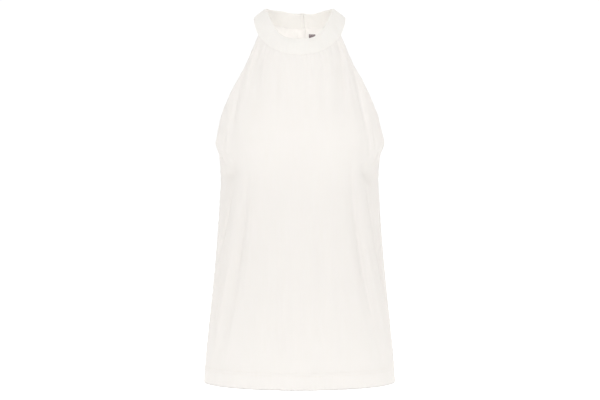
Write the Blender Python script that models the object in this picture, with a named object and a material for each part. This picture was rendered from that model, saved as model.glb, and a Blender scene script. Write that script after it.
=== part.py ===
"""Halter-neck knit tank top, hollow, in the form it has when it is worn.

The tables are in millimetres: heights are above the hem, depths are in front of or behind the side
seams, and "across" is measured along the cloth from a panel's centre line. The meshes are in metres,
+Z up. The front faces -Y. The origin lies midway between the two high shoulder points, where the
neck band rests, so the hem is one garment length below it.
"""
from collections import namedtuple

import bmesh
import bpy
import numpy as np
from mathutils import Matrix, Vector

MM = 0.001
GARMENT_LENGTH = 616.0          # high shoulder point to hem
UNDERARM_HEIGHT = 373.0
SEAM_GAP = 0.3                  # between pieces that are sewn to each other

CLOTH = 1.4                     # one layer of the knit
HEM_DEPTH = 28.0                # turned up inside
HEM_TURN = 1.2                  # what the turned-up layer adds
HEM_EDGE = 1.0                  # height in which that thickness ends
ARMHOLE_TURN_WIDTH = 9.0        # turned edge round each armhole
ARMHOLE_TURN = 0.8
TURN_EASE = 2.0                 # width in which a turned edge's thickness ends
TURN_START = 7.0                # height in which it begins, at the underarm and at the slit's foot
FRONT_CORNER = 62.0             # degrees round the neck from centre front, where the armhole starts
BACK_CORNER = 58.0              # the same from centre back

BAND_THICKNESS = 2.6            # two layers of the knit, pressed
BAND_PROUD = 0.6                # how far the band stands out from the panels
BAND_BULGE = 0.8
BAND_FOOT_HALF_WIDTH = 76.0     # lower edge of the band
BAND_FOOT_FRONT_DEPTH = 88.0
BAND_FOOT_BACK_DEPTH = 68.0
BAND_TOP_HALF_WIDTH = 55.0      # neckline
BAND_TOP_FRONT_DEPTH = 75.0
BAND_TOP_BACK_DEPTH = 55.0

# The band is open at the back. One end stops just past the centre, and the other laps over it outside.
INNER_END = -186.3              # degrees from centre front, by way of the wearer's right
OUTER_END = 190.5               # degrees from centre front, by way of the wearer's left
LAP_START = 142.0               # from here to LAP_FULL the ends part to make room for each other
LAP_FULL = 165.0
LAP_OFFSET = (BAND_THICKNESS + SEAM_GAP) / 2

SLIT_ANGLE = -7.1               # degrees from centre back, seen from behind
SLIT_SHARE = SLIT_ANGLE / BACK_CORNER
SLIT_FOOT_HEIGHT = 497.0
SLIT_TOP_GAP = 1.8
SLIT_WIDEST_GAP = 3.2
FACING_TURN = 0.9               # edge of the slit, turned inside
INNER_FACING_WIDTH = 13.0
OUTER_FACING_WIDTH = 6.0

BUTTON_ANGLE = 182.5            # middle of the lap
BUTTON_RADIUS = 5.75
BUTTON_THICKNESS = 2.4
BUTTON_EDGE = 0.5               # rounding of its rims
BUTTON_SIDES = 28
BUTTON_HOLE_SIDES = 10
BUTTON_HOLE_RADIUS = 0.8
BUTTON_HOLE_CENTRE = 1.7        # each of the four holes, from the button's centre, each way

LABEL_LEFT = -27.5              # across the back, seen from behind
LABEL_RIGHT = -16.3
LABEL_TOP_HEIGHT = 580.0
LABEL_LENGTH = 32.0
LABEL_THICKNESS = 0.6
LABEL_ROWS = 9
LABEL_COLUMNS = 5

IVORY_KNIT = (0.93, 0.90, 0.86)
IVORY_SHELL = (0.90, 0.86, 0.79)
MAUVE_TAPE = (0.20, 0.16, 0.16)

# One row for each height where the form turns. A section is part of an ellipse, from the centre
# line to the panel's edge, which is the side seam up to the underarm and then the armhole.
Section = namedtuple("Section", "centre_height centre_depth edge_height half_width edge_depth")

FRONT_SECTIONS = [
    Section(0.0, 113.0, 0.0, 157.7, 0.0),
    Section(35.0, 112.5, 35.0, 155.3, 0.0),
    Section(100.0, 112.0, 100.0, 148.8, 0.0),
    Section(167.0, 112.0, 167.0, 141.5, 0.0),
    Section(233.0, 113.0, 233.0, 136.0, 0.0),
    Section(299.0, 115.0, 299.0, 131.5, 0.0),
    Section(332.0, 117.0, 332.0, 129.8, 0.0),
    Section(UNDERARM_HEIGHT, 119.5, UNDERARM_HEIGHT, 132.4, 0.0),
    Section(380.0, 119.9, 376.5, 132.9, 13.0),
    Section(388.0, 120.1, 385.0, 133.2, 23.0),
    Section(402.0, 119.8, 403.0, 132.8, 37.0),
    Section(424.0, 117.5, 427.9, 128.3, 52.0),
    Section(452.0, 112.0, 459.2, 115.7, 63.0),
    Section(478.0, 105.0, 490.9, 100.6, 67.0),
    Section(503.0, 97.0, 523.9, 83.6, 59.0),
]

BACK_SECTIONS = [
    Section(0.0, 110.0, 0.0, 157.7, 0.0),
    Section(35.0, 108.5, 35.0, 155.3, 0.0),
    Section(100.0, 104.0, 100.0, 148.8, 0.0),
    Section(167.0, 99.0, 167.0, 141.5, 0.0),
    Section(233.0, 96.0, 233.0, 136.0, 0.0),
    Section(299.0, 96.0, 299.0, 131.5, 0.0),
    Section(332.0, 97.0, 332.0, 129.8, 0.0),
    Section(UNDERARM_HEIGHT, 99.0, UNDERARM_HEIGHT, 132.4, 0.0),
    Section(380.0, 99.5, 376.5, 131.6, 12.0),
    Section(388.0, 100.0, 385.5, 130.0, 21.0),
    Section(424.0, 101.5, 427.0, 121.0, 43.0),
    Section(455.0, 101.5, 461.0, 110.0, 54.0),
    Section(485.0, 99.5, 493.0, 98.5, 60.0),
    Section(515.0, 94.5, 524.0, 87.0, 60.0),
    Section(545.0, 86.0, 554.0, 76.5, 53.5),
    Section(570.0, 77.0, 578.0, 69.0, 45.0),
]

# Heights of the band's two edges, from centre front to centre back.
BandStation = namedtuple("BandStation", "angle foot_height top_height")
BAND_STATIONS = [
    BandStation(0.0, 529.0, 556.3),
    BandStation(16.0, 531.8, 558.7),
    BandStation(31.0, 539.2, 564.5),
    BandStation(45.0, 549.8, 576.0),
    BandStation(FRONT_CORNER, 566.7, 595.5),
    BandStation(76.0, 585.0, 608.5),
    BandStation(90.0, 599.0, 615.0),
    BandStation(104.0, 601.0, 616.8),
    BandStation(180.0 - BACK_CORNER, 599.0, 617.0),
    BandStation(148.0, 595.5, 616.6),
    BandStation(165.0, 593.0, 615.0),
    BandStation(180.0, 592.0, 613.6),
]

# The band doesn't sit quite level: it rises at the lap and dips beside it.
Waver = namedtuple("Waver", "angle spread lift")
BAND_WAVERS = [
    Waver(176.0, 5.0, 1.3),
    Waver(155.0, 14.0, -3.0),
    Waver(-150.0, 16.0, 0.8),
]

# A fold runs from its foot to its top, bowed sideways in between. It is a soft trough where its
# depth is above 0 and a soft ridge where it is below. Left and right differ, as in worn cloth.
Fold = namedtuple("Fold", "foot_across foot_height top_across top_height bow width depth")
FOLD_SHOULDER = 0.35            # the rise on each side of a trough, as a share of its depth
FOLD_SHOULDER_AT = 1.7          # its place, in widths from the trough's line

FRONT_FOLDS = [
    Fold(-70.0, 440.0, -84.0, 650.0, 2.0, 9.0, 6.0),        # from the band's corners to the bust
    Fold(63.0, 432.0, 88.0, 650.0, -3.0, 9.5, 6.4),
    Fold(-116.0, 378.0, -97.0, 545.0, -1.0, 9.0, 4.2),
    Fold(117.0, 380.0, 84.0, 560.0, -3.0, 9.5, 4.6),
    Fold(-36.0, 408.0, -40.0, 640.0, 0.0, 7.0, 1.9),        # under the band
    Fold(-15.0, 440.0, -14.0, 620.0, 0.0, 6.0, 1.4),
    Fold(16.0, 425.0, 18.0, 630.0, 0.0, 6.5, 1.7),
    Fold(38.0, 415.0, 44.0, 640.0, 0.0, 7.0, 1.8),
    Fold(-134.0, 38.0, -83.0, 362.0, 8.0, 11.0, 4.6),       # from below the bust to the hem
    Fold(141.0, 42.0, 81.0, 358.0, -9.0, 11.0, 4.8),
    Fold(-170.0, 70.0, -128.0, 345.0, 2.0, 12.0, 4.0),
    Fold(181.0, 62.0, 125.0, 335.0, 0.0, 12.5, 4.2),
    Fold(-152.0, 12.0, -118.0, 205.0, 3.0, 10.0, 2.6),
    Fold(160.0, 15.0, 128.0, 180.0, 0.0, 10.0, 2.2),
    Fold(-39.0, -60.0, -37.0, 345.0, 1.0, 10.0, 1.5),
    Fold(39.0, -60.0, 37.0, 350.0, -1.0, 10.0, 1.6),
]

BACK_FOLDS = [
    Fold(-66.0, 452.0, -82.0, 660.0, 3.0, 9.0, 4.6),        # from the band's corners
    Fold(61.0, 440.0, 84.0, 660.0, -2.0, 9.5, 5.0),
    Fold(-104.0, 395.0, -88.0, 560.0, 0.0, 9.0, 3.0),
    Fold(107.0, 385.0, 86.0, 555.0, -2.0, 9.0, 3.4),
    Fold(30.0, 455.0, 34.0, 650.0, 0.0, 7.0, 1.6),
    Fold(-92.0, 55.0, -58.0, 390.0, 6.0, 12.0, 4.0),        # from the shoulder blades to the hem
    Fold(104.0, 48.0, 63.0, 400.0, -8.0, 12.0, 4.3),
    Fold(-140.0, 62.0, -112.0, 350.0, 4.0, 11.5, 4.2),
    Fold(147.0, 75.0, 117.0, 345.0, -3.0, 12.0, 3.8),
    Fold(-172.0, 40.0, -150.0, 260.0, 0.0, 11.0, 2.6),
    Fold(176.0, 30.0, 156.0, 240.0, 0.0, 11.0, 2.8),
    Fold(-30.0, -50.0, -22.0, 330.0, 4.0, 12.0, 2.4),
    Fold(34.0, -50.0, 24.0, 315.0, -3.0, 12.0, 2.2),
]

# Broad fullness and hollows of the worn shape.
Swell = namedtuple("Swell", "across height half_across half_height lift")
FRONT_SWELLS = [
    Swell(-68.0, 408.0, 46.0, 50.0, 6.0),       # the bust
    Swell(68.0, 408.0, 46.0, 50.0, 6.0),
    Swell(-126.0, 343.0, 24.0, 27.0, -6.0),     # drawn in below it at the sides
    Swell(124.0, 343.0, 24.0, 27.0, -6.0),
    Swell(-177.0, 390.0, 27.0, 16.0, 4.8),      # the armhole's edge, pushed out by the bust
    Swell(178.0, 391.0, 27.0, 17.0, 5.6),
]
BACK_SWELLS = [
    Swell(-62.0, 430.0, 48.0, 60.0, 4.0),       # the shoulder blades
    Swell(62.0, 430.0, 48.0, 60.0, 4.0),
    Swell(0.0, 250.0, 60.0, 80.0, -4.0),        # the hollow of the back
]

# A panel faces 1 to the front or -1 to the back.
Panel = namedtuple("Panel", "name facing sections folds swells")
BODY_ROWS = 20                  # steps from the hem's top to the underarm
UNDERARM_ROWS = (3.0, 7.0)      # close rows where the armhole turns, above the underarm
ARMHOLE_FOOT = 15.0             # from here up to the band the rows are even again
ARMHOLE_ROWS = 14
EXTRA_BACK_ROWS = 3
FRONT_COLUMNS = 31
BACK_COLUMNS = 16               # on each side of the slit
SECTION_SAMPLES = 24            # steps in which a length across the cloth is added up
SEAM_HOLD = 24.0                # folds flatten out this near a side seam
BAND_HOLD = 26.0                # and this near the band
SHARE_STEP = 0.002              # steps between neighbours, for the directions of a surface
HEIGHT_STEP = 0.5
ANGLE_STEP = 0.5

# The band's section, from its lower outside edge up, over the fold and down its inside: the place
# up the band as a share of its width, outwards as a share of its thickness, and the share of its bulge.
BandPoint = namedtuple("BandPoint", "up out bulge")
BAND_OUTLINE = [
    BandPoint(0.00, 0.0, 0.0),
    BandPoint(0.30, 0.0, 0.8),
    BandPoint(0.65, 0.0, 1.0),
    BandPoint(0.95, -0.08, 0.3),
    BandPoint(1.00, -0.50, 0.0),
    BandPoint(0.95, -0.92, 0.3),
    BandPoint(0.65, -1.0, 1.0),
    BandPoint(0.30, -1.0, 0.8),
    BandPoint(0.00, -1.0, 0.0),
]
BAND_STEPS = 96


def smooth_step(value):
    """Goes from 0 to 1 with level ends as the value does."""
    value = np.clip(value, 0.0, 1.0)
    return value * value * (3.0 - 2.0 * value)


def smooth_curve(knots, values, at):
    """Reads a cubic through the knots that never overshoots them."""
    knots = np.asarray(knots, float)
    values = np.asarray(values, float)
    step = np.diff(knots)
    slope = np.diff(values) / step
    tangent = np.zeros(len(knots))
    tangent[0] = slope[0]
    tangent[-1] = slope[-1]
    for i in range(1, len(knots) - 1):
        if slope[i - 1] * slope[i] > 0:
            before = 2 * step[i] + step[i - 1]
            after = step[i] + 2 * step[i - 1]
            tangent[i] = (before + after) / (before / slope[i - 1] + after / slope[i])
    at = np.clip(at, knots[0], knots[-1])
    k = np.clip(np.searchsorted(knots, at, side="right") - 1, 0, len(knots) - 2)
    u = (at - knots[k]) / step[k]
    return (values[k] * (1 + 2 * u) * (1 - u) ** 2 + values[k + 1] * u * u * (3 - 2 * u)
            + step[k] * (tangent[k] * u * (1 - u) ** 2 + tangent[k + 1] * u * u * (u - 1)))


def unit(vectors):
    """Scales vectors to length 1."""
    return vectors / np.linalg.norm(vectors, axis=-1, keepdims=True)


def band_edge_points(angle, half_width, front_depth, back_depth, heights):
    """Points on one edge of the band, at angles in degrees from centre front."""
    turn = np.radians(angle)
    round_back = np.cos(turn) < 0
    depth = np.where(round_back, back_depth, front_depth)
    station = np.abs((angle + 180.0) % 360.0 - 180.0)
    height = smooth_curve([row.angle for row in BAND_STATIONS], heights, station)
    return np.stack([half_width * np.sin(turn), -depth * np.cos(turn), height], axis=-1)


def band_edges(angle):
    """The band's lower and upper edge, before its ends part at the lap."""
    foot = band_edge_points(
        angle, BAND_FOOT_HALF_WIDTH, BAND_FOOT_FRONT_DEPTH, BAND_FOOT_BACK_DEPTH,
        [row.foot_height for row in BAND_STATIONS])
    top = band_edge_points(
        angle, BAND_TOP_HALF_WIDTH, BAND_TOP_FRONT_DEPTH, BAND_TOP_BACK_DEPTH,
        [row.top_height for row in BAND_STATIONS])
    return foot, top


def band_frame(angle):
    """The band as worn: lower edge, upper edge, direction up it and outward direction."""
    angle = np.asarray(angle, float)
    foot, top = band_edges(angle)
    ahead, _ = band_edges(angle + ANGLE_STEP)
    behind, _ = band_edges(angle - ANGLE_STEP)
    up = unit(top - foot)
    outward = unit(np.cross(ahead - behind, up))
    parted = smooth_step((np.abs(angle) - LAP_START) / (LAP_FULL - LAP_START))
    shift = outward * (np.sign(angle) * parted * LAP_OFFSET)[..., None]
    for waver in BAND_WAVERS:
        shift[..., 2] += waver.lift * np.exp(-((angle - waver.angle) / waver.spread) ** 2)
    return foot + shift, top + shift, up, outward


def band_section(facing):
    """The panel's last section, which is the band's lower edge."""
    corner = FRONT_CORNER if facing > 0 else 180.0 - BACK_CORNER
    centre = 0.0 if facing > 0 else 180.0
    (low, _), (side, _) = band_edges(np.array(centre)), band_edges(np.array(corner))
    return Section(low[2], abs(low[1]), side[2], side[0], abs(side[1]))


def section_column(panel, name, height):
    """One column of a panel's table, read at heights on its centre line."""
    knots = [row.centre_height for row in panel.sections]
    values = [getattr(row, name) for row in panel.sections]
    return smooth_curve(knots, values, height)


def armhole_depth(panel, height):
    """Depth of a panel's edge, which leaves the side seam at the underarm in a round turn."""
    rows = [row for row in panel.sections if row.centre_height >= UNDERARM_HEIGHT]
    at = np.maximum(height, UNDERARM_HEIGHT)
    return smooth_curve([row.centre_height for row in rows], [row.edge_depth for row in rows], at)


def plain_form(panel, share, height):
    """The worn form without folds. The share goes from -1 to 1 across the panel."""
    half_width = section_column(panel, "half_width", height)
    centre_depth = section_column(panel, "centre_depth", height)
    edge_height = section_column(panel, "edge_height", height)
    spread = np.arccos(armhole_depth(panel, height) / centre_depth)
    turned = (1 - np.cos(share * spread)) / (1 - np.cos(spread))
    x = half_width * np.sin(share * spread) / np.sin(spread)
    depth = centre_depth * np.cos(share * spread) + SEAM_GAP / 2
    z = height + (edge_height - height) * turned
    return np.stack([panel.facing * x, -panel.facing * depth, z], axis=-1)


def across_cloth(panel, share, height):
    """Length along the cloth from the panel's centre line, below 0 on its left."""
    total = np.zeros(np.broadcast(share, height).shape)
    last = plain_form(panel, share * 0.0, height)
    for i in range(1, SECTION_SAMPLES + 1):
        here = plain_form(panel, share * i / SECTION_SAMPLES, height)
        total += np.linalg.norm(here - last, axis=-1)
        last = here
    return total * np.sign(share)


def relief(panel, across, height):
    """How far the cloth stands out from the plain form at a place on it."""
    total = np.zeros(np.broadcast(across, height).shape)
    for swell in panel.swells:
        off = (across - swell.across) / swell.half_across
        up = (height - swell.height) / swell.half_height
        total += swell.lift * np.exp(-off ** 2 - up ** 2)
    for fold in panel.folds:
        run = np.clip((height - fold.foot_height) / (fold.top_height - fold.foot_height), 0.0, 1.0)
        line = fold.foot_across + (fold.top_across - fold.foot_across) * run
        off = (across - line - fold.bow * 4 * run * (1 - run)) / fold.width
        shoulders = np.exp(-(off - FOLD_SHOULDER_AT) ** 2) + np.exp(-(off + FOLD_SHOULDER_AT) ** 2)
        total -= fold.depth * np.sin(np.pi * run) * (np.exp(-off ** 2) - FOLD_SHOULDER * shoulders)
    return total


def folded_form(panel, share, height):
    """The worn form with its folds, before it eases into the band."""
    middle = plain_form(panel, share, height)
    along = plain_form(panel, share + SHARE_STEP, height) - plain_form(panel, share - SHARE_STEP, height)
    rise = plain_form(panel, share, height + HEIGHT_STEP) - plain_form(panel, share, height - HEIGHT_STEP)
    across = across_cloth(panel, share, height)
    half_girth = across_cloth(panel, np.ones_like(share), height)
    at_seam = 1 - smooth_step((half_girth - np.abs(across)) / SEAM_HOLD)
    sewn = 1 - smooth_step((height - UNDERARM_HEIGHT) / SEAM_HOLD)
    held = (1 - at_seam * sewn) * smooth_step((panel.sections[-1].centre_height - height) / BAND_HOLD)
    return middle + unit(np.cross(along, rise)) * (held * relief(panel, across, middle[..., 2]))[..., None]


def seam_line(panel, share, past_slit):
    """Where a panel meets the band's lower edge."""
    turn = share * (FRONT_CORNER if panel.facing > 0 else BACK_CORNER)
    if panel.facing > 0:
        angle = turn
    else:
        angle = np.where(past_slit, turn - 180.0, turn + 180.0)
    foot, _, up, outward = band_frame(angle)
    return foot - up * SEAM_GAP, outward


def outer_face(panel, share, height, past_slit):
    """The outside of a panel: the folded form, eased into the band at its top."""
    top_height = panel.sections[-1].centre_height
    eased = 1 - smooth_step((top_height - height) / BAND_HOLD)
    seam, _ = seam_line(panel, share, past_slit)
    form_top = plain_form(panel, share, np.full_like(height, top_height))
    return folded_form(panel, share, height) + (seam - form_top) * eased[..., None]


def outward_normals(panel, share, height, past_slit):
    """Outward directions of a panel's outside."""
    inside_share = np.clip(share, SHARE_STEP - 1, 1 - SHARE_STEP)
    top_height = panel.sections[-1].centre_height
    inside_height = np.clip(height, HEIGHT_STEP, top_height - HEIGHT_STEP)
    along = (outer_face(panel, inside_share + SHARE_STEP, height, past_slit)
             - outer_face(panel, inside_share - SHARE_STEP, height, past_slit))
    rise = (outer_face(panel, share, inside_height + HEIGHT_STEP, past_slit)
            - outer_face(panel, share, inside_height - HEIGHT_STEP, past_slit))
    normals = np.cross(along, rise)
    at_side_seam = (np.abs(share) > 1 - SHARE_STEP) & (height <= UNDERARM_HEIGHT)
    normals[..., 1] = np.where(at_side_seam, 0.0, normals[..., 1])
    _, band_outward = seam_line(panel, share, past_slit)
    at_band = (height > top_height - HEIGHT_STEP)[..., None]
    return unit(np.where(at_band, band_outward, unit(normals)))


def wall_thickness(panel, share, height, past_slit):
    """One layer of the knit, and more where an edge is turned inside."""
    across = across_cloth(panel, share, height)
    edge_distance = across_cloth(panel, np.ones_like(share), height) - np.abs(across)
    hem = smooth_step((HEM_DEPTH - height) / HEM_EDGE)
    armhole = smooth_step((ARMHOLE_TURN_WIDTH + TURN_EASE - edge_distance) / TURN_EASE)
    armhole *= smooth_step((height - UNDERARM_HEIGHT) / TURN_START)
    thickness = CLOTH + HEM_TURN * hem + ARMHOLE_TURN * armhole
    if panel.facing < 0:
        slit_distance = np.abs(across - across_cloth(panel, np.full_like(share, SLIT_SHARE), height))
        width = np.where(past_slit, INNER_FACING_WIDTH, OUTER_FACING_WIDTH)
        facing = smooth_step((width + TURN_EASE - slit_distance) / TURN_EASE)
        thickness += FACING_TURN * facing * smooth_step((height - SLIT_FOOT_HEIGHT) / TURN_START)
    return thickness


def slit_half_gap(height):
    """Half the width of the back slit, which closes at its foot."""
    top_height = band_section(-1).centre_height
    knots = [SLIT_FOOT_HEIGHT, (SLIT_FOOT_HEIGHT + top_height) / 2, top_height]
    return smooth_curve(knots, [0.0, SLIT_WIDEST_GAP / 2, SLIT_TOP_GAP / 2], height)


def principled(name, colour, roughness):
    """A plain finish."""
    material = bpy.data.materials.new(name)
    material.use_nodes = True
    shader = material.node_tree.nodes["Principled BSDF"]
    shader.inputs["Base Color"].default_value = (*colour, 1.0)
    shader.inputs["Roughness"].default_value = roughness
    shader.inputs["Metallic"].default_value = 0.0
    material.diffuse_color = (*colour, 1.0)
    return material


def add_object(name, points, faces, material):
    """Makes a mesh object from points in millimetres above the hem."""
    placed = (np.asarray(points) - [0.0, 0.0, GARMENT_LENGTH]) * MM
    mesh = bpy.data.meshes.new(name)
    mesh.from_pydata(placed.tolist(), [], faces)
    mesh.validate()
    mesh.materials.append(material)
    mesh.shade_smooth()
    obj = bpy.data.objects.new(name, mesh)
    bpy.context.scene.collection.objects.link(obj)


def grid_quads(rows, columns):
    """Faces of a grid of points, counted along each row."""
    corners = [(i * columns + j) for i in range(rows - 1) for j in range(columns - 1)]
    return [(a, a + 1, a + columns + 1, a + columns) for a in corners]


def closed_wall(name, outside, inside, quads, material):
    """Closes a sheet into a wall: its outside, its inside and a rim along every open edge.

    The two grids have the same points, and those that no face uses are left out.
    """
    used = sorted({point for quad in quads for point in quad})
    order = {old: new for new, old in enumerate(used)}
    quads = [tuple(order[point] for point in quad) for quad in quads]
    points = np.concatenate([outside.reshape(-1, 3)[used], inside.reshape(-1, 3)[used]])
    count = len(used)
    faces = quads + [tuple(count + point for point in reversed(quad)) for quad in quads]
    edges = {(quad[i - 1], quad[i]) for quad in quads for i in range(len(quad))}
    faces += [(b, a, count + a, count + b) for a, b in sorted(edges) if (b, a) not in edges]
    add_object(name, points, faces, material)


def panel_rows(panel):
    """Heights of a panel's rows on its centre line: close at the hem and the armhole."""
    top_height = panel.sections[-1].centre_height
    extra = EXTRA_BACK_ROWS if panel.facing < 0 else 0
    hem = [0.0, HEM_DEPTH / 3, HEM_DEPTH * 2 / 3, HEM_DEPTH - HEM_EDGE]
    body = np.linspace(HEM_DEPTH, UNDERARM_HEIGHT, BODY_ROWS + 1)
    turn = [UNDERARM_HEIGHT + rise for rise in UNDERARM_ROWS]
    upper = np.linspace(UNDERARM_HEIGHT + ARMHOLE_FOOT, top_height, ARMHOLE_ROWS + extra)
    return np.concatenate([hem, body, turn, upper])


def panel_wall(panel, share, height, past_slit, quads, material):
    """A panel as a wall of cloth, its inside a thickness behind its outside."""
    outside = outer_face(panel, share, height, past_slit)
    thickness = wall_thickness(panel, share, height, past_slit)
    inside = outside - outward_normals(panel, share, height, past_slit) * thickness[..., None]
    closed_wall(panel.name, outside, inside, quads, material)


def front(material):
    """The front, in one piece from hem to band."""
    panel = Panel("front", 1, FRONT_SECTIONS + [band_section(1)], FRONT_FOLDS, FRONT_SWELLS)
    shares = np.linspace(-1, 1, FRONT_COLUMNS)
    height, share = np.meshgrid(panel_rows(panel), shares, indexing="ij")
    past_slit = np.zeros(share.shape, bool)
    panel_wall(panel, share, height, past_slit, grid_quads(*share.shape), material)


def back_panel():
    """The back's form, with the band's lower edge as its last section."""
    return Panel("back", -1, BACK_SECTIONS + [band_section(-1)], BACK_FOLDS, BACK_SWELLS)


def back(material):
    """The back, slit from the band down. Below the slit's foot its two sides share their points."""
    panel = back_panel()
    rows = panel_rows(panel)
    foot_row = int(np.argmin(np.abs(rows - SLIT_FOOT_HEIGHT)))
    rows[foot_row] = SLIT_FOOT_HEIGHT
    left = np.linspace(-1, SLIT_SHARE, BACK_COLUMNS)
    right = np.linspace(SLIT_SHARE, 1, BACK_COLUMNS)
    height, share = np.meshgrid(rows, np.concatenate([left, right]), indexing="ij")
    past_slit = np.zeros(share.shape, bool)
    past_slit[:, BACK_COLUMNS:] = True

    half_girth = across_cloth(panel, np.ones_like(share), height)
    shift = np.where(height > SLIT_FOOT_HEIGHT, slit_half_gap(height), 0.0) / half_girth
    left_share = share - shift * (share + 1) / (SLIT_SHARE + 1)
    right_share = share + shift * (1 - share) / (1 - SLIT_SHARE)
    share = np.where(past_slit, right_share, left_share)

    columns = share.shape[1]
    last_left = BACK_COLUMNS - 1
    quads = [quad for quad in grid_quads(*share.shape) if quad[0] % columns != last_left]
    merged = {i * columns + BACK_COLUMNS: i * columns + last_left for i in range(foot_row + 1)}
    quads = [tuple(merged.get(point, point) for point in quad) for quad in quads]
    panel_wall(panel, share, height, past_slit, quads, material)


def neck_band(material):
    """The folded band, one open ring whose ends lap at the back."""
    angles = np.linspace(INNER_END, OUTER_END, BAND_STEPS + 1)
    foot, top, _, outward = band_frame(angles)
    points = []
    for i in range(len(angles)):
        for place in BAND_OUTLINE:
            out = BAND_PROUD + place.out * BAND_THICKNESS + place.bulge * BAND_BULGE
            points.append(foot[i] + (top[i] - foot[i]) * place.up + outward[i] * out)
    count = len(BAND_OUTLINE)
    faces = []
    for i in range(BAND_STEPS):
        for j in range(count):
            a = i * count + j
            b = i * count + (j + 1) % count
            faces.append((a, a + count, b + count, b))
    faces.append(tuple(range(count)))
    faces.append(tuple(reversed(range(BAND_STEPS * count, (BAND_STEPS + 1) * count))))
    add_object("neck_band", points, faces, material)


def button_place():
    """Where the button lies on the band's outside, its face turned outwards."""
    foot, top, up, outward = (values[0] for values in band_frame(np.array([BUTTON_ANGLE])))
    centre = (foot + top) / 2 + outward * (BAND_PROUD + BAND_BULGE + SEAM_GAP)
    turn = Matrix((np.cross(up, outward), up, outward)).transposed().to_4x4()
    return Matrix.Translation((Vector(centre) - Vector((0, 0, GARMENT_LENGTH))) * MM) @ turn


def add_disc(mesh, sides, radius, bottom, top, across=0.0, up=0.0):
    """Adds a round disc to a mesh, from its bottom to its top, off its centre."""
    middle = Matrix.Translation(Vector((across, up, (bottom + top) / 2)) * MM)
    bmesh.ops.create_cone(
        mesh, cap_ends=True, segments=sides, radius1=radius * MM, radius2=radius * MM,
        depth=(top - bottom) * MM, matrix=middle)


def placed_object(name, form):
    """Makes an object from a finished mesh form, at the button's place."""
    mesh = bpy.data.meshes.new(name)
    form.to_mesh(mesh)
    form.free()
    obj = bpy.data.objects.new(name, mesh)
    bpy.context.scene.collection.objects.link(obj)
    obj.matrix_world = button_place()
    return obj


def button(material):
    """The four-hole button on the lap's outer end."""
    form = bmesh.new()
    add_disc(form, BUTTON_SIDES, BUTTON_RADIUS, 0.0, BUTTON_THICKNESS)
    rims = [edge for face in form.faces if len(face.verts) == BUTTON_SIDES for edge in face.edges]
    bmesh.ops.bevel(form, geom=rims, offset=BUTTON_EDGE * MM, segments=2, profile=0.5, affect="EDGES")
    disc = placed_object("button", form)
    disc.data.materials.append(material)

    form = bmesh.new()
    for across in (-BUTTON_HOLE_CENTRE, BUTTON_HOLE_CENTRE):
        for up in (-BUTTON_HOLE_CENTRE, BUTTON_HOLE_CENTRE):
            add_disc(form, BUTTON_HOLE_SIDES, BUTTON_HOLE_RADIUS,
                     -BUTTON_THICKNESS, 2 * BUTTON_THICKNESS, across, up)
    holes = placed_object("button_holes", form)
    holes.hide_render = True
    holes.display_type = "WIRE"
    cut = disc.modifiers.new("holes", "BOOLEAN")
    cut.operation = "DIFFERENCE"
    cut.solver = "EXACT"
    cut.object = holes


def label(material):
    """The plain label inside the back, laid on the cloth."""
    panel = back_panel()
    heights = np.linspace(LABEL_TOP_HEIGHT - LABEL_LENGTH, LABEL_TOP_HEIGHT, LABEL_ROWS)
    half_girth = across_cloth(panel, np.array(1.0), np.array(heights.mean()))
    shares = np.linspace(LABEL_LEFT, LABEL_RIGHT, LABEL_COLUMNS) / half_girth
    height, share = np.meshgrid(heights, shares, indexing="ij")
    past_slit = np.zeros(share.shape, bool)
    cloth = outer_face(panel, share, height, past_slit)
    outward = outward_normals(panel, share, height, past_slit)
    depth = wall_thickness(panel, share, height, past_slit) + SEAM_GAP
    near = cloth - outward * depth[..., None]
    far = near - outward * LABEL_THICKNESS
    closed_wall("label", near, far, grid_quads(*share.shape), material)


def build():
    """Makes every piece of the top."""
    for obj in list(bpy.data.objects):
        bpy.data.objects.remove(obj, do_unlink=True)
    knit = principled("ivory_knit", IVORY_KNIT, 0.9)
    front(knit)
    back(knit)
    neck_band(principled("ivory_band", IVORY_KNIT, 0.9))
    button(principled("ivory_button", IVORY_SHELL, 0.35))
    label(principled("mauve_tape", MAUVE_TAPE, 0.8))


build()
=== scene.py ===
"""The looks of a halter-neck tank top in ivory jersey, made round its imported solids.

Lengths are in millimetres and heights are above the hem, up to the last step, which puts each piece in
the row's frame in metres. "Across" is measured along the cloth from a panel's centre line.
"""
from collections import namedtuple

import bmesh
import bpy
import numpy as np
from mathutils import Matrix, Vector


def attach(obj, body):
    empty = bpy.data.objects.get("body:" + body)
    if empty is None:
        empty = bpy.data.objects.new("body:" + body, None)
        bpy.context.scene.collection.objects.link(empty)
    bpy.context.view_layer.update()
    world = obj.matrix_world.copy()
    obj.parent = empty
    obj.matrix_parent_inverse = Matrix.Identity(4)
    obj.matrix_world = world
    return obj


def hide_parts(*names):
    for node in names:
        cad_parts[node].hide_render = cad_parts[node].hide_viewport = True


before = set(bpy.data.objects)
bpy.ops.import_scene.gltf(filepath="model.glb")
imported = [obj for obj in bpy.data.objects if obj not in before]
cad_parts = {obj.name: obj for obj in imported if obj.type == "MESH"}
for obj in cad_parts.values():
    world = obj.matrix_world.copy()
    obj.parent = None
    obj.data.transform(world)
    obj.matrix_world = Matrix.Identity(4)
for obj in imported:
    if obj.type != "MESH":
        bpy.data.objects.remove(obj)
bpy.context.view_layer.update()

# ----------------------------------------------------------------------
# Studio. A white floor lit from within, as a light table is, that runs out of sight to a white wall
# all round under a dimmer ceiling. Soft lamps stand in front and, weaker, behind, and a small one
# inside the neck lightens the inside of the back. The camera is level with the middle of the top.
MM = 0.001
GARMENT_LENGTH = 616  # high shoulder point to hem
CAMERA_DISTANCE = 2200
CAMERA_HEIGHT = 299
CAMERA_ASIDE = 0.7
CAMERA_LENS = 80
CAMERA_SENSOR = 36
CAMERA_REACH = 200000
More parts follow.
